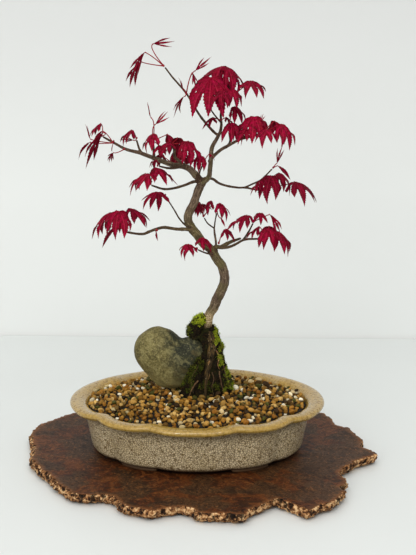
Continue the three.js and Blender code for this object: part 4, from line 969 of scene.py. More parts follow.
def bark_paint():
    """Purplish brown above, olive along the bend, pale and flaking at the foot."""
    paint = Paint("bark")
    where = paint.place()
    streaks = paint.noise(paint.stretch(paint.mark(), (1.0, 0.16, 1.0)), 1.3, 5.0, 0.65, 0.4)
    fine = paint.noise(where, 1.2, 4.0, 0.6)
    broad = paint.noise(where, 14.0, 3.0, 0.55)
    radius = paint.mark("Z")

    grey = paint.ramp(streaks, (0.34, (50, 36, 30)), (0.5, (92, 74, 62)), (0.66, (136, 116, 98)))
    olive = paint.ramp(streaks, (0.34, (46, 40, 18)), (0.52, (94, 86, 46)), (0.68, (138, 126, 80)))
    twig = paint.ramp(fine, (0.34, (34, 21, 17)), (0.56, (76, 53, 38)), (0.72, (118, 92, 64)))
    pale = paint.ramp(fine, (0.36, (104, 80, 48)), (0.5, (170, 148, 108)), (0.64, (214, 198, 162)))
    rooted = paint.ramp(streaks, (0.36, (20, 13, 4)), (0.5, (50, 37, 14)), (0.66, (104, 80, 40)))

    level = paint.sum("DIVIDE", paint.weighted(paint.part(where, "Z"), 26.0, broad), 400.0)
    colour = paint.over(grey, olive, level, (0.50, 0.15), (0.56, 0.7), (0.62, 0.55), (0.67, 0.1))
    colour = paint.over(colour, (92, 88, 46), broad, (0.52, 0.0), (0.68, 0.45))
    colour = paint.over(colour, twig, paint.sum("DIVIDE", radius, 4.0), (0.25, 1.0), (0.6, 0.0))
    colour = paint.over(colour, pale, level, (0.4, 0.9), (0.425, 0.0))
    colour = paint.over(colour, rooted, level, (0.362, 1.0), (0.384, 0.0))
    colour = paint.over(colour, (34, 26, 20), fine, (0.32, 0.55), (0.42, 0.0))
    colour = paint.over(colour, (158, 142, 112), paint.cells(where, 3.4), (0.12, 0.4), (0.22, 0.0))
    relief = paint.bump(fine, 0.2, 0.5, paint.bump(streaks, 0.5, 0.6))
    return paint.finish(colour, paint.ramp(fine, (0.3, 0.62), (0.7, 0.85)), 0.2, relief)


# ---------- Stone ----------

ROCK_CENTRE = np.array([-20.5, 8.0, 104.0])
ROCK_DEPTH_SHARE = 0.78
BOULDERS = [((-18.5, 0, 6.5), 24.0), ((13.2, 0, 3.8), 16.3), ((-5.0, 0, -6.8), 25.6)]
BOULDER_BLEND = 9
DENT_PLACE, DENT_SIZE, DENT_DEPTH = np.array([-31, -8, -9]), np.array([5, 12, 2.6]), 0.9


def make_rock():
    """A river stone: three boulders grown into one smooth body, worn and finely pitted."""
    way, faces = icosphere(7)
    way = unit(way)
    total = 0.0
    for centre, radius in BOULDERS:
        centre = np.array(centre, float)
        middle = way @ centre
        total = total + (middle + np.sqrt(middle ** 2 - centre @ centre + radius ** 2)) ** BOULDER_BLEND
    chips = np.sin(way[:, 0] * 9 + way[:, 2] * 4) * np.cos(way[:, 1] * 7 - way[:, 2] * 6)
    reach = total ** (1 / BOULDER_BLEND) + 0.7 * chips
    points = way * reach[:, None] * np.array([1, ROCK_DEPTH_SHARE, 1])
    dent = np.exp(-np.sum(((points - DENT_PLACE) / DENT_SIZE) ** 2, 1)) * DENT_DEPTH
    relief = lumps(points, 16.0, 2, 3.0) * 0.5 + lumps(points, 3.5, 3, 4.0) * 0.16 - dent
    points = points * (1 + relief / np.linalg.norm(points, axis=1))[:, None]
    shape = Shape()
    shape.add(points + ROCK_CENTRE, faces)
    return dress(shape.make("river_stone", rock_paint()), "stone", "rock")


def rock_paint():
    """Ochre-tinged above and to the left, slate grey to the right, and paler ochre at the foot: partly the
    stone's own colours, partly painted light on the left and at the foot and painted shade on the right.
    """
    paint = Paint("stone")
    where = paint.place()
    x, z = paint.part(where, "X"), paint.part(where, "Z")
    broad = paint.noise(where, 16.0, 4.0, 0.55, 0.3)
    fine = paint.noise(where, 1.6, 5.0, 0.7)
    grain = paint.noise(where, 0.7, 2.0, 0.6)
    cloud = paint.noise(where, 9.0, 4.0, 0.6, 0.9)
    stain = paint.noise(where, 7.0, 4.0, 0.6)
    slate = paint.ramp(fine, (0.36, (27, 29, 19)), (0.5, (47, 49, 33)), (0.64, (76, 76, 54)))
    ochre = paint.ramp(fine, (0.34, (74, 67, 36)), (0.5, (113, 104, 62)), (0.66, (150, 140, 92)))
    # Ochre to the left and dark slate to the right: partly the stone's own colours, partly painted light on
    # the left and painted shade on the right.
    turn = paint.weighted(paint.sum("MULTIPLY", x, -0.03), 1.3, broad)
    turn = paint.sum("SUBTRACT", paint.weighted(turn, -0.006, z), 0.4)
    colour = paint.over(slate, ochre, turn, (0.2, 0.0), (0.68, 1.0))
    colour = paint.over(colour, (98, 84, 46), stain, (0.55, 0.0), (0.68, 0.5))
    shade = paint.ramp(cloud, (0.36, 0.55), (0.5, 0.95), (0.62, 1.0))
    colour = paint.mix(1.0, colour, shade, "MULTIPLY")
    colour = paint.over(colour, (150, 142, 96), cloud, (0.52, 0.0), (0.64, 0.35))
    # Paler ochre towards the foot: partly the stone's own colour, partly painted light against the shade
    # there.
    low = paint.sum("DIVIDE", paint.weighted(z, 16.0, broad), 200.0)
    colour = paint.over(colour, (148, 138, 88), low, (0.41, 0.75), (0.5, 0.0))
    colour = paint.over(colour, (172, 164, 132), paint.cells(where, 4.0), (0.08, 0.35), (0.16, 0.0))
    colour = paint.over(colour, (44, 42, 30), grain, (0.3, 0.5), (0.42, 0.0))
    relief = paint.bump(grain, 0.12, 0.5, paint.bump(fine, 0.35, 0.6))
    return paint.finish(colour, paint.ramp(fine, (0.3, 0.6), (0.7, 0.8)), 0.22, relief)


# ---------- Root mound ----------

MOUND_TOP = 133.0


def make_mound():
    """Crumbly dark peat round the roots, worked up from the node's own form."""
    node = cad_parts["root_mound"]
    shape = Shape()
    for size in (3, 4):
        sides = [tuple(p.vertices) for p in node.data.polygons if len(p.vertices) == size]
        if sides:
            shape.add(read_surface(node)[0], np.array(sides))
    for name, spare in (("root_right", 1.0), ("root_back", 1.0), ("root_front", -0.4), ("trunk", 0.9)):
        line, _, radii = limb_line(name, 2.0)
        low = line[:, 2] < MOUND_TOP
        tube(shape, line[low], radii[low] + spare, 12)
    mound = shape.make("peat_mound", peat_paint())
    fuse(mound, 0.9, smoothing=3)
    points, normals = read_surface(mound)
    high = smoothstep(62, 72, points[:, 2])
    clods = lumps(points, 6.5, 3, 6.0) * 1.6 + lumps(points, 2.6, 3, 7.0) * 0.9
    write_points(mound, points + normals * ((clods - 0.3) * (0.2 + 0.8 * high))[:, None])
    return dress(mound, "peat", "root_mound")


def peat_paint():
    """Nearly black peat with brown crumbs and a green tinge in places."""
    paint = Paint("peat")
    where = paint.place()
    fine = paint.noise(where, 1.5, 5.0, 0.7)
    broad = paint.noise(where, 9.0, 3.0, 0.55)
    browns = ((8, 5, 2), (20, 14, 4), (48, 34, 14), (92, 66, 32))
    colour = paint.ramp(fine, *zip((0.34, 0.52, 0.64, 0.76), browns))
    green = paint.ramp(fine, (0.35, (16, 18, 4)), (0.7, (50, 54, 12)))
    colour = paint.over(colour, green, broad, (0.5, 0.0), (0.62, 0.5))
    return paint.finish(colour, 0.95, 0.15, paint.bump(fine, 0.8, 0.8))


# ---------- Soil and gravel ----------

# The pot's rings keep their width up to WALL_BAND from the rim, and shrink evenly inside it.
POT_HALF_LENGTH, POT_HALF_WIDTH, WALL_BAND = 127.0, 103.0, 40.0
NOTCHES = np.array([40, 70, 110, 140, 220, 250, 290, 320])
NOTCH_DEPTH, NOTCH_REACH = 0.038, 14.0
SOIL_EDGE = POT_HALF_LENGTH - 18.9
SOIL_EDGE_Z, SOIL_CENTRE_Z = 59.8, 67.9
SOIL_FOOT, SOIL_FOOT_Z, SOIL_WALL, SOIL_WALL_Z = 97.4, 21.3, 107.2, 56.0
SOIL_STEPS, SOIL_DROP = 180, 0.4  # how far the soil's body lies below the level of its grains


def lobe(degrees, soften=0.0):
    """The rim's lobes: 1 on a lobe, less in a notch."""
    turned = np.mod(degrees, 360.0)
    nearest = np.min(np.abs(turned[..., None] - NOTCHES), axis=-1)
    nearest = np.sqrt(nearest ** 2 + soften ** 2)
    return 1 - NOTCH_DEPTH * (1 - np.minimum(nearest / NOTCH_REACH, 1)) ** 2


def ring_half_width(half_length):
    """A ring's half width: as much less than its half length as the rim's, and in proportion inside."""
    walls = POT_HALF_LENGTH - WALL_BAND
    narrow = POT_HALF_LENGTH - POT_HALF_WIDTH
    return np.where(half_length > walls, half_length - narrow, half_length * (walls - narrow) / walls)


def ring_point(half_length, degrees, soften=0.0):
    """A place on one of the pot's rings."""
    size = lobe(degrees, soften)
    turn = np.radians(degrees)
    return half_length * size * np.cos(turn), ring_half_width(half_length) * size * np.sin(turn)


def soil_level(x, y):
    """Height of the soil under the gravel."""
    turn = np.degrees(np.arctan2(y / POT_HALF_WIDTH, x / POT_HALF_LENGTH))
    edge_x, edge_y = ring_point(SOIL_EDGE, turn)
    share = np.clip(np.hypot(x, y) / np.hypot(edge_x, edge_y), 0, 1)
    return SOIL_EDGE_Z + (SOIL_CENTRE_Z - SOIL_EDGE_Z) * (1 - share ** 2)


def make_soil():
    """The dark body of soil that the gravel lies on."""
    degrees = np.linspace(0, 360, SOIL_STEPS, endpoint=False)
    rings = []
    for half, height in ((SOIL_FOOT, SOIL_FOOT_Z), (SOIL_WALL, SOIL_WALL_Z)):
        rings.append(np.stack([*ring_point(half, degrees), np.full(SOIL_STEPS, height)], -1))
    for share in np.linspace(1, 0.04, 32):
        x, y = ring_point(SOIL_EDGE * share, degrees)
        rings.append(np.stack([x, y, soil_level(x, y) - SOIL_DROP], -1))
    shape = Shape()
    shape.add_rings(rings, [[0, 0, SOIL_FOOT_Z], [0, 0, SOIL_CENTRE_Z - SOIL_DROP]])
    dress(shape.make("soil_body", soil_paint()), "gravel", "gravel_soil")


def soil_paint():
    """Dark crumbly soil."""
    paint = Paint("soil")
    fine = paint.noise(paint.place(), 1.2, 4.0, 0.7)
    colour = paint.ramp(fine, (0.35, (14, 9, 4)), (0.6, (34, 24, 10)), (0.8, (70, 50, 24)))
    return paint.finish(colour, 0.95, normal=paint.bump(fine, 0.6, 0.8))


def grain_forms(rng, count):
    """Small broken pebbles: rounded balls with a few flat faces cut on them."""
    base, faces = icosphere(2)
    forms = []
    for _ in range(count):
        points = base.copy()
        for _ in range(rng.integers(6, 11)):
            way = unit(rng.normal(size=3))
            over = points @ way - rng.uniform(0.62, 0.92)
            points = points - np.maximum(over, 0)[:, None] * way * 0.92
        points = points * rng.uniform([0.9, 0.7, 0.55], [1.15, 0.95, 0.85])
        forms.append(points + rng.normal(0, 0.015, points.shape))
    return forms, faces


# The gravel's layers: how far apart the grains lie, how high above the soil, and how often one is tried.
GRAVEL_LAYERS = [(4.9, 0.3, 16000), (6.6, 2.7, 6000)]
GRAIN_RADIUS = (2.2, 3.4)
# Kinds of gravel: how many in a hundred, and the colours they run between.
GRAVEL = {
    "tan": (45, [(186, 142, 68), (166, 121, 48), (142, 100, 32), (204, 166, 96)]),
    "ochre": (13, [(150, 98, 30), (166, 114, 40), (128, 84, 24)]),
    "brown": (30, [(80, 56, 18), (52, 34, 10), (100, 72, 28), (120, 92, 40), (78, 76, 26)]),
    "pale": (12, [(240, 226, 188), (250, 242, 216), (216, 192, 142), (200, 180, 130)]),
}


def scatter(rng, spacing, tries):
    """Places over the soil at least that far apart, allowing for each one's size."""
    taken = {}
    places = []
    for _ in range(tries):
        turn, out = rng.random() * 360, math.sqrt(rng.random())
        x, y = (float(value) * out for value in ring_point(SOIL_EDGE - 1.2, turn))
        size = rng.uniform(0.78, 1.25) ** 1.2
        column, row = int(x // spacing), int(y // spacing)
        cells = [(column + i, row + j) for i in range(-2, 3) for j in range(-2, 3)]
        near = (grain for cell in cells for grain in taken.get(cell, ()))
        if all(math.hypot(x - a, y - b) > spacing * 0.5 * (size + other) for a, b, other in near):
            taken.setdefault((column, row), []).append((x, y, size))
            places.append((x, y, size))
    return places


def make_gravel(blocks):
    """Loose grains in two layers on the soil, kept clear of the stone and the mound."""
    rng = np.random.default_rng(21)
    forms, faces = grain_forms(rng, 40)
    kinds = list(GRAVEL)
    chances = [GRAVEL[kind][0] / 100 for kind in kinds]
    shapes = {kind: Shape() for kind in kinds}
    for spacing, lift, tries in GRAVEL_LAYERS:
        for x, y, size in scatter(rng, spacing, tries):
            radius = size * rng.uniform(*GRAIN_RADIUS)
            height = float(soil_level(x, y)) + lift * rng.uniform(0.7, 1.3) + 0.3 * radius
            place = np.array([x, y, height])
            if any(inside(block, place, radius * 0.55) for block in blocks):
                continue
            form = forms[rng.integers(len(forms))]
            turn = np.array(Quaternion(unit(rng.normal(size=4))).to_matrix())
            kind = kinds[rng.choice(len(kinds), p=chances)]
            colours = GRAVEL[kind][1]
            colour = np.array(rgb(colours[rng.integers(len(colours))]))
            colour[:3] *= rng.uniform(0.75, 1.2)
            shapes[kind].add(form @ turn.T * radius * np.array([1, 1, 0.85]) + place, faces, tint=colour)
    for kind, shape in shapes.items():
        dress(shape.make("gravel_" + kind, gravel_paint(kind), smooth=False, tinted=True), "gravel")


def inside(tree, place, room):
    """True where a place is within a body, or nearer its surface than the room asked."""
    at, normal, _, distance = tree.find_nearest(place * MM)
    if at is None:
        return False
    return distance < room * MM or (Vector(place * MM) - at).dot(normal) < 0


def gravel_paint(kind):
    """Grains of their own tints, darker in their pores and dusty in patches."""
    paint = Paint("gravel_" + kind)
    where = paint.place()
    fine = paint.noise(where, 0.9, 4.0, 0.7)
    specks = paint.noise(where, 2.6, 3.0, 0.6)
    colour = paint.tinted(paint.ramp(fine, (0.32, 0.4), (0.5, 0.95), (0.7, 1.0)))
    dust = (190, 158, 98) if kind != "brown" else (116, 88, 46)
    colour = paint.over(colour, dust, specks, (0.58, 0.0), (0.78, 0.3))
    return paint.finish(colour, paint.ramp(fine, (0.3, 0.55), (0.7, 0.85)), 0.18, paint.bump(fine, 0.3, 0.6))


# ---------- Moss and surface roots ----------

# Patches of moss, seen from the front: centre x and z, half width and half height, how thick it
# stands there, and how bright it is.
MOSS_PATCHES = [
    ((1.5, 143.0), (6.5, 6.5), 1.0, 2.1), ((-8.0, 131.0), (4.5, 5.0), 0.8, 0.5),
    ((19.5, 126.0), (4.0, 9.0), 1.0, 1.6), ((23.5, 108.0), (3.4, 11.0), 0.7, 1.4),
    ((30.0, 86.0), (4.4, 10.0), 0.45, 1.1), ((12.5, 77.0), (12.0, 6.0), 0.3, 0.4),
    ((-10.0, 86.0), (8.0, 15.0), 0.5, 0.4), ((2.0, 98.0), (6.0, 10.0), 0.25, 0.4),
    ((32.0, 72.0), (6.0, 5.0), 0.4, 1.0),
]
MOSS_TUFTS, MOSS_BLADES = 2900, 8
MOSS_LOWEST, MOSS_BEHIND, MOSS_BRIGHTNESS = 62, 0.45, 0.8
# A blade is a thin pyramid: two rings of three points and a tip.
BLADE_CORNERS = np.array([0.0, 2.1, 4.2])
BLADE_STEPS = np.array([0.0, 0.5, 1.0])


def moss_share(points):
    """How likely moss is at each point of the mound, and how bright. The back is overgrown evenly."""
    share, bright = np.zeros(len(points)), np.full(len(points), MOSS_BRIGHTNESS)
    for (x, z), (wide, high), most, light in MOSS_PATCHES:
        out = ((points[:, 0] - x) / wide) ** 2 + ((points[:, 2] - z) / high) ** 2
        here = most * smoothstep(1.25, 0.45, out)
        bright = np.where(here > share, light, bright)
        share = np.maximum(share, here)
    behind = smoothstep(12.0, 20.0, points[:, 1])
    return share * (1 - behind) + MOSS_BEHIND * behind, bright


def moss_blade(shape, faces, rng, foot, lean, shade, yellow):
    """One curled, pointed leaf of moss."""
    way = unit(lean + rng.normal(0, 0.55, 3))
    length = rng.uniform(0.9, 3.0)
    curl = unit(rng.normal(size=3)) * length * 0.3
    line = foot + way * length * BLADE_STEPS[:, None] + curl * BLADE_STEPS[:, None] ** 2
    side = unit(np.cross(way, rng.normal(size=3)))
    around = np.cos(BLADE_CORNERS)[:, None] * side + np.sin(BLADE_CORNERS)[:, None] * np.cross(way, side)
    rings = [line[k] + rng.uniform(0.16, 0.3) * around for k in range(2)]
    marks = np.column_stack([np.repeat(BLADE_STEPS, 3)[:7], np.full(7, yellow), np.zeros(7)])
    shape.add(np.concatenate([*rings, line[2:]]), faces, marks, (shade, shade, shade, 1))


def make_moss(mound):
    """Tufts of fine pointed leaves standing on the mound."""
    rng = np.random.default_rng(8)
    points, normals = read_surface(mound)
    clumps = smoothstep(-0.35, 0.25, lumps(points, 5.0, 2, 11.0))
    share, bright = moss_share(points)
    chance = share * (0.03 + clumps) * (points[:, 2] > MOSS_LOWEST)
    faces = [grid(2, 3, closed=True), fan(6, np.arange(3, 6))]
    shape = Shape()
    for root in rng.choice(len(points), MOSS_TUFTS, p=chance / chance.sum()):
        lean = unit(normals[root] + np.array([0, 0, 0.9]))
        shade = rng.uniform(0.3, 1.35) * bright[root]
        yellow = rng.uniform(0, 1)
        for _ in range(MOSS_BLADES):
            foot = points[root] + rng.normal(0, 0.6, 3) - normals[root] * 0.6
            moss_blade(shape, faces, rng, foot, lean, shade, yellow)
    dress(shape.make("moss", moss_paint(), marked=True, tinted=True), "moss")


def moss_paint():
    """Dark at a blade's foot and bright at its tip, some blades yellower."""
    paint = Paint("moss")
    yellow = paint.mark("Y")
    foot = paint.mix(yellow, (44, 54, 8), (66, 62, 12))
    tip = paint.mix(yellow, (120, 146, 22), (176, 180, 44))
    return paint.finish(paint.tinted(paint.mix(paint.mark("X"), foot, tip)), 0.7, 0.2)


# Thin roots on the face of the mound: points as x and z from the front, a radius and
# how light it is.
SURFACE_ROOTS = [
    ([(12.5, 104), (11.5, 96), (12.5, 90), (11, 84)], 0.75, 1.3),
    ([(19, 112), (21.5, 106), (20.5, 98), (22, 94)], 0.75, 1.35),
    ([(9.5, 86), (8, 80), (8.5, 74), (7, 66)], 0.75, 0.85),
    ([(1, 84), (-3, 79), (-5, 74), (-9, 66)], 0.85, 0.7),
    ([(22, 92), (24, 84), (24.5, 78), (28, 66)], 0.75, 0.6),
    ([(2, 99), (-4, 88), (-4.5, 80), (-3, 70)], 0.5, 0.4),
    ([(15, 92), (16.5, 84), (15, 78), (17, 68)], 0.5, 0.5),
    ([(26, 98), (28, 90), (32, 80), (36, 68)], 0.6, 0.55),
]


def make_roots(mound):
    """Thin roots laid along the mound's face, sunk a little into it."""
    rng = np.random.default_rng(3)
    tree = surface_tree(mound)
    shape = Shape()
    for route, radius, shade in SURFACE_ROOTS:
        flat = curve_through([(x, 0.0, z) for x, z in route], 1.5)
        wander = np.cumsum(rng.normal(0, 0.22, len(flat)))
        line = []
        for (x, _, z), shift in zip(flat, wander - np.linspace(0, wander[-1], len(flat))):
            place, normal, _, _ = tree.ray_cast(Vector((x + shift, -90.0, z)) * MM, Vector((0, 1, 0)))
            if place is not None:
                line.append(np.array(place) / MM + np.array(normal) * radius * 0.25)
        line = np.array(line)
        line[1:-1] = (line[:-2] + 2 * line[1:-1] + line[2:]) / 4
        taper = radius * np.linspace(1.0, 0.45, len(line)) * (1 + rng.normal(0, 0.07, len(line)))
        tube(shape, line, np.maximum(taper, 0.3), 8, (shade, shade, shade, 1))
    dress(shape.make("surface_roots", root_paint(), tinted=True), "bark")


def root_paint():
    """Brown roots, each with its own brightness."""
    paint = Paint("roots")
    fine = paint.noise(paint.place(), 1.2, 4.0, 0.65)
    colour = paint.ramp(fine, (0.3, (50, 30, 12)), (0.5, (104, 70, 36)), (0.7, (166, 128, 80)))
    return paint.finish(paint.tinted(colour), 0.75, normal=paint.bump(fine, 0.25, 0.6))


# ---------- Pot ----------

# Half length and height of each corner of the pot's section, and how much it is rounded.
POT_SECTION = [
    ((0, 14.6), 0), ((101.5, 14.6), 1.5), ((105.5, 18.5), 3.0), ((111.5, 50), 4.0), ((113.5, 56.2), 1.2),
    ((123.5, 57.4), 2.4), ((127.3, 60.4), 2.2), ((126.2, 63.6), 1.8), ((121, 64.8), 3.0),
    ((113, 63.4), 2.5), ((109.2, 60), 1.8), ((99, 21), 3.0), ((0, 21), 0),
]
POT_STEPS = 288
SECTION_STEP = 3.0
NOTCH_SOFTNESS = 1.0
RIM_WAVE, RIM_WAVE_SOFTNESS = 2.4, 3.0  # how far the rim rises over a notch
RIM_WAVE_HEIGHTS = (52.0, 59.0)
FOOT_ANGLES = np.linspace(44, 68, 13)
FOOT_OUTER, FOOT_INNER = 101.0, 88.0
FOOT_ROWS = [(0.93, 12.0), (0.975, 12.25), (1.0, 12.9), (1.0, 15.8)]  # width and height
DRAIN_X, DRAIN_RADIUS, DRAIN_HEIGHTS = 45.0, 6.0, (12.5, 16.0, 20.0, 24.0)


def add_foot(shape, turn_x, turn_y):
    """A low curved foot, rounded a little at its lower edge."""
    outer = np.stack(ring_point(FOOT_OUTER, FOOT_ANGLES), -1)
    inner = np.stack(ring_point(FOOT_INNER, FOOT_ANGLES[::-1]), -1)
    ring = np.concatenate([outer, inner]) * (turn_x, turn_y)
    if turn_x * turn_y < 0:
        ring = ring[::-1]
    middle = ring.mean(0)
    rings = [np.insert(middle + (ring - middle) * scale, 2, height, axis=1) for scale, height in FOOT_ROWS]
    shape.add_rings(rings, [[*middle, FOOT_ROWS[0][1]], [*middle, FOOT_ROWS[-1][1]]])


def make_pot():
    """The glazed oval pot: its turned body with notches round the rim, feet and drain holes."""
    section = rounded(POT_SECTION, SECTION_STEP)
    degrees = np.linspace(0, 360, POT_STEPS, endpoint=False)
    wave = RIM_WAVE * (1 - lobe(degrees, RIM_WAVE_SOFTNESS)) / NOTCH_DEPTH
    rings = []
    for half, height in section[1:-1]:
        x, y = ring_point(half, degrees, NOTCH_SOFTNESS)
        rings.append(np.stack([x, y, height + wave * smoothstep(*RIM_WAVE_HEIGHTS, height)], -1))
    points = np.concatenate(rings)
    wobble = lumps(points, 60.0, 2, 12.0) * 0.25 + lumps(points, 9.0, 2, 13.0) * 0.06
    points[:, :2] *= (1 + wobble / np.maximum(np.hypot(points[:, 0], points[:, 1]), 30))[:, None]
    shape = Shape()
    ends = [[0, 0, section[0][1]], [0, 0, section[-1][1]]]
    shape.add_rings(points.reshape(len(rings), POT_STEPS, 3), ends)
    for turn_x in (1, -1):
        for turn_y in (1, -1):
            add_foot(shape, turn_x, turn_y)
    pot = shape.make("glazed_pot", pot_paint())
    cutters = []
    for x in (-DRAIN_X, DRAIN_X):
        drill = Shape()
        tube(drill, np.array([[x, 0, height] for height in DRAIN_HEIGHTS]), DRAIN_RADIUS, 40, cap=0.0)
        cutters.append(drill.make("cutter", pot.data.materials[0]))
        cut = pot.modifiers.new("cut", "BOOLEAN")
        cut.operation, cut.object, cut.solver = "DIFFERENCE", cutters[-1], "EXACT"
    bake(pot)
    for cutter in cutters:
        bpy.data.objects.remove(cutter)
    dress(pot, "glaze", "pot")


def pot_paint():
    """Crackled beige glaze over brown clay: coarse and dark on the body, fine on the rim, with a painted
    shadow band under the rim.
    """
    paint = Paint("crackle_glaze")
    where = paint.place()
    height = paint.sum("DIVIDE", paint.part(where, "Z"), 100.0)
    bent = paint.add("ShaderNodeVectorMath", operation="MULTIPLY_ADD")
    paint.join(bent.inputs[0], paint.noise(where, 1 / 0.35, 2.0, 0.5, output="Color"))
    bent.inputs[1].default_value = (1.1, 1.1, 1.1)
    paint.join(bent.inputs[2], where)
    broad = paint.noise(where, 24.0, 3.0, 0.5)
    mottle = paint.noise(where, 3.0, 4.0, 0.6)
    coarse = paint.cells(bent.outputs[0], 2.1, "DISTANCE_TO_EDGE")
    fine = paint.cells(bent.outputs[0], 1.2, "DISTANCE_TO_EDGE")

    body = paint.ramp(mottle, (0.3, (190, 172, 136)), (0.5, (212, 195, 160)), (0.7, (226, 211, 178)))
    body = paint.over(body, (192, 172, 130), broad, (0.4, 0.0), (0.65, 0.5))
    lines = paint.ramp(coarse, (0.045, 0.92), (0.17, 0.0))
    lines = paint.sum("MAXIMUM", lines, paint.ramp(fine, (0.02, 0.2), (0.06, 0.0)))
    body = paint.mix(lines, body, (86, 66, 34))
    rim = paint.ramp(mottle, (0.3, (140, 110, 40)), (0.5, (168, 134, 54)), (0.7, (190, 158, 78)))
    rim = paint.over(rim, (124, 96, 50), coarse, (0.03, 0.45), (0.1, 0.0))
    colour = paint.over(body, rim, height, (0.555, 0.0), (0.575, 1.0))
    # A painted shadow: a dark band on the body just under the rim's lip.
    colour = paint.over(colour, (74, 60, 40), height, (0.47, 0.0), (0.53, 0.62), (0.57, 0.7), (0.58, 0.0))
    clay = paint.ramp(height, (0.16, 1.0), (0.185, 0.0))
    colour = paint.mix(clay, colour, (72, 48, 22))
    paint.set("Coat Weight", paint.ramp(height, (0.16, 0.0), (0.185, 0.5)))
    paint.set("Coat Roughness", 0.06)
    relief = paint.bump(paint.ramp(coarse, (0.0, 0.0), (0.09, 1.0)), 0.12, 0.6)
    roughness = paint.mix(clay, paint.ramp(mottle, (0.3, 0.24), (0.7, 0.34)), (225, 225, 225))
    return paint.finish(colour, roughness, normal=paint.bump(broad, 1.0, 0.12, relief))


def dress_screens():
    """The drain meshes keep their forms and get a moulded plastic finish."""
    paint = Paint("screen_plastic")
    fine = paint.noise(paint.place(), 0.6, 3.0, 0.6)
    colour = paint.ramp(fine, (0.3, (26, 28, 26)), (0.7, (44, 46, 43)))
    roughness = paint.ramp(fine, (0.3, 0.5), (0.7, 0.68))
    paint.finish(colour, roughness, normal=paint.bump(fine, 0.05, 0.5))
    for name in ("drain_screen_left", "drain_screen_right"):
        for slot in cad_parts[name].material_slots:
            slot.material = paint.material


# ---------- Burl slice ----------

SLAB_THICKNESS = 12.0
SLAB_STEP = 0.9
# Heights of the edge's rows, and how far each stands out from the rim of the top.
SLAB_ROWS = [(0, -3.0), (0.5, -1.4), (1.6, 0.4), (3.2, 1.4), (5, 1.9), (7, 1.9), (8.8, 1.4), (10.2, 0.7),
             (11.2, 0.1), (11.75, -0.5), (12.0, -1.3)]
SLAB_SLANT = np.array([-2.5, 7.0])  # how far the underside lies aside of the top
SLAB_CENTRE = np.array([0.0, -12.0])
# The top's rows, from its rim to its middle, as shares of the way out.
SLAB_TOP_ROWS = [0.985, 0.965, 0.94, 0.9, 0.85, 0.79, 0.72, 0.64, 0.55, 0.45, 0.34, 0.22, 0.1]
POT_SHADOW = (104.0, 80.0)  # half length and half width of the painted shadow under the pot


def make_slab():
    """The thin slice of burl: a flat polished top inside a rough natural edge."""
    rim = closed_curve(SLAB_OUTLINE, SLAB_STEP)
    ahead, behind = np.roll(rim, -3, 0), np.roll(rim, 3, 0)
    out = unit(np.stack([ahead[:, 1] - behind[:, 1], behind[:, 0] - ahead[:, 0]], -1))
    count = len(rim)
    waves = lumps(np.insert(rim, 2, 0, axis=1), 11.0, 3, 21.0) * 1.3
    rings = []
    for height, stand in SLAB_ROWS:
        level = np.insert(rim, 2, height * 1.6, axis=1)
        chips = lumps(level, 4.2, 3, 22.0) * 2.3 + lumps(level, 1.8, 2, 23.0) * 0.9
        strength = 1.0 if 0.3 < height < 11.9 else 0.7
        shift = stand + waves + np.clip(chips, -2.6, 1.7) * strength
        spot = rim + out * shift[:, None] + SLAB_SLANT * (1 - height / SLAB_THICKNESS)
        lift = 0.35 * lumps(level, 3.0, 2, 24.0) if 0.3 < height < 11.6 else np.zeros(count)
        rings.append(np.column_stack([spot, height + lift]))
    edge = rings[-1][:, :2]
    for share in SLAB_TOP_ROWS:
        spot = SLAB_CENTRE + (edge - SLAB_CENTRE) * share
        dip = np.abs(lumps(np.insert(spot, 2, 0, axis=1), 26.0, 3, 25.0)) * 0.3
        rings.append(np.column_stack([spot, SLAB_THICKNESS - dip]))
    # Marks: the share of the way round, of the way up the edge, and of the way in over the top.
    up = [*np.linspace(0, 1, len(SLAB_ROWS)), *np.ones(len(SLAB_TOP_ROWS))]
    inward = [*np.zeros(len(SLAB_ROWS)), *(1 - np.array(SLAB_TOP_ROWS))]
    marks = [np.tile(np.arange(count) / count, len(rings)), np.repeat(up, count), np.repeat(inward, count)]
    ends = [[*SLAB_CENTRE, 0.0], [*SLAB_CENTRE, SLAB_THICKNESS - 0.1]]
    shape = Shape()
    shape.add_rings(rings, ends, np.concatenate([np.stack(marks, -1), [[0, 0, 0], [0, 1, 1]]]))
    dress(shape.make("burl_slice", slab_paint(), marked=True), "burl", "display_slab")


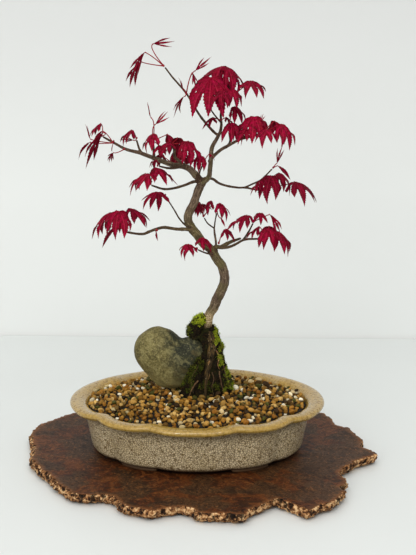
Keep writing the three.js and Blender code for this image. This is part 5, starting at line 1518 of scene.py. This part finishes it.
def slab_paint():
    """Polished burl: mauve-brown with grey-dark blotches of painted shade and reflection, red swirls, pale
    curls, a painted shadow under the pot and a rough edge with painted shade in its crevices.
    """
    paint = Paint("burl")
    where = paint.place()
    flat = paint.place((1.0, 1.0, 0.25))
    swirl = paint.noise(flat, 34.0, 5.0, 0.6, 1.6)
    curl = paint.noise(flat, 9.0, 4.0, 0.62, 2.2)
    fine = paint.noise(flat, 2.0, 4.0, 0.65, 0.6)
    shade_blotch = paint.noise(flat, 46.0, 3.0, 0.5, 0.6)
    pale = paint.noise(flat, 8.0, 4.0, 0.7, 3.0)
    knots = paint.noise(flat, 15.0, 3.0, 0.6, 1.0)
    browns = ((34, 19, 7), (68, 41, 20), (104, 68, 38), (50, 29, 12))
    colour = paint.ramp(swirl, *zip((0.42, 0.475, 0.52, 0.58), browns))
    colour = paint.over(colour, (88, 44, 18), curl, (0.42, 0.0), (0.5, 0.8), (0.58, 0.1))
    # Dark grey blotches: painted shade and reflection laid on the wood.
    grey = paint.ramp(fine, (0.38, (30, 22, 15)), (0.62, (76, 60, 46)))
    colour = paint.over(colour, grey, shade_blotch, (0.48, 0.0), (0.53, 0.85))
    colour = paint.over(colour, (140, 100, 66), pale, (0.55, 0.0), (0.62, 0.5))
    colour = paint.over(colour, (34, 19, 8), knots, (0.38, 0.75), (0.46, 0.0))
    colour = paint.over(colour, (30, 18, 12), fine, (0.34, 0.7), (0.45, 0.0))
    colour = paint.over(colour, (26, 16, 12), paint.cells(flat, 17.0), (0.03, 0.8), (0.09, 0.0))
    colour = paint.over(colour, (150, 108, 74), paint.mark("Z"), (0.0, 0.3), (0.012, 0.2), (0.03, 0.0))
    colour = paint.mix(1.0, colour, (255, 228, 188), "MULTIPLY")
    # A painted shadow under the pot, darkest under its middle.
    shares = (paint.sum("DIVIDE", paint.part(where, axis), half) for axis, half in zip("XY", POT_SHADOW))
    painted_pot_shadow = paint.sum("ADD", *(paint.sum("POWER", share, 2.0) for share in shares))
    colour = paint.over(colour, (14, 8, 4), painted_pot_shadow, (0.8, 0.8), (1.0, 0.0))

    chips = paint.noise(where, 4.6, 4.0, 0.6, 0.5)
    crevice_shade = paint.noise(paint.place((1.0, 1.0, 0.3)), 5.0, 3.0, 0.6)
    torn = ((30, 17, 8), (96, 60, 34), (168, 120, 76), (224, 186, 138))
    rough = paint.ramp(chips, *zip((0.38, 0.45, 0.53, 0.62), torn))
    # Near-black crevices in the rough edge: painted shade.
    rough = paint.over(rough, (18, 10, 5), crevice_shade, (0.41, 0.9), (0.47, 0.0))
    outer = paint.ramp(paint.mark("Y"), (0.86, 1.0), (0.98, 0.0))
    colour = paint.mix(outer, colour, rough)
    polish = paint.ramp(fine, (0.3, 0.62), (0.7, 0.5))
    return paint.finish(colour, paint.mix(outer, polish, (225, 225, 225)), 0.16, paint.bump(fine, 0.3, 0.5))


# ---------- Assembly ----------

set_camera()
set_lights()
set_stage()
make_slab()
make_pot()
dress_screens()
make_soil()
stone = make_rock()
peat = make_mound()
make_roots(peat)
make_moss(peat)
make_gravel([surface_tree(stone), surface_tree(peat)])
make_tree()
make_leaves()
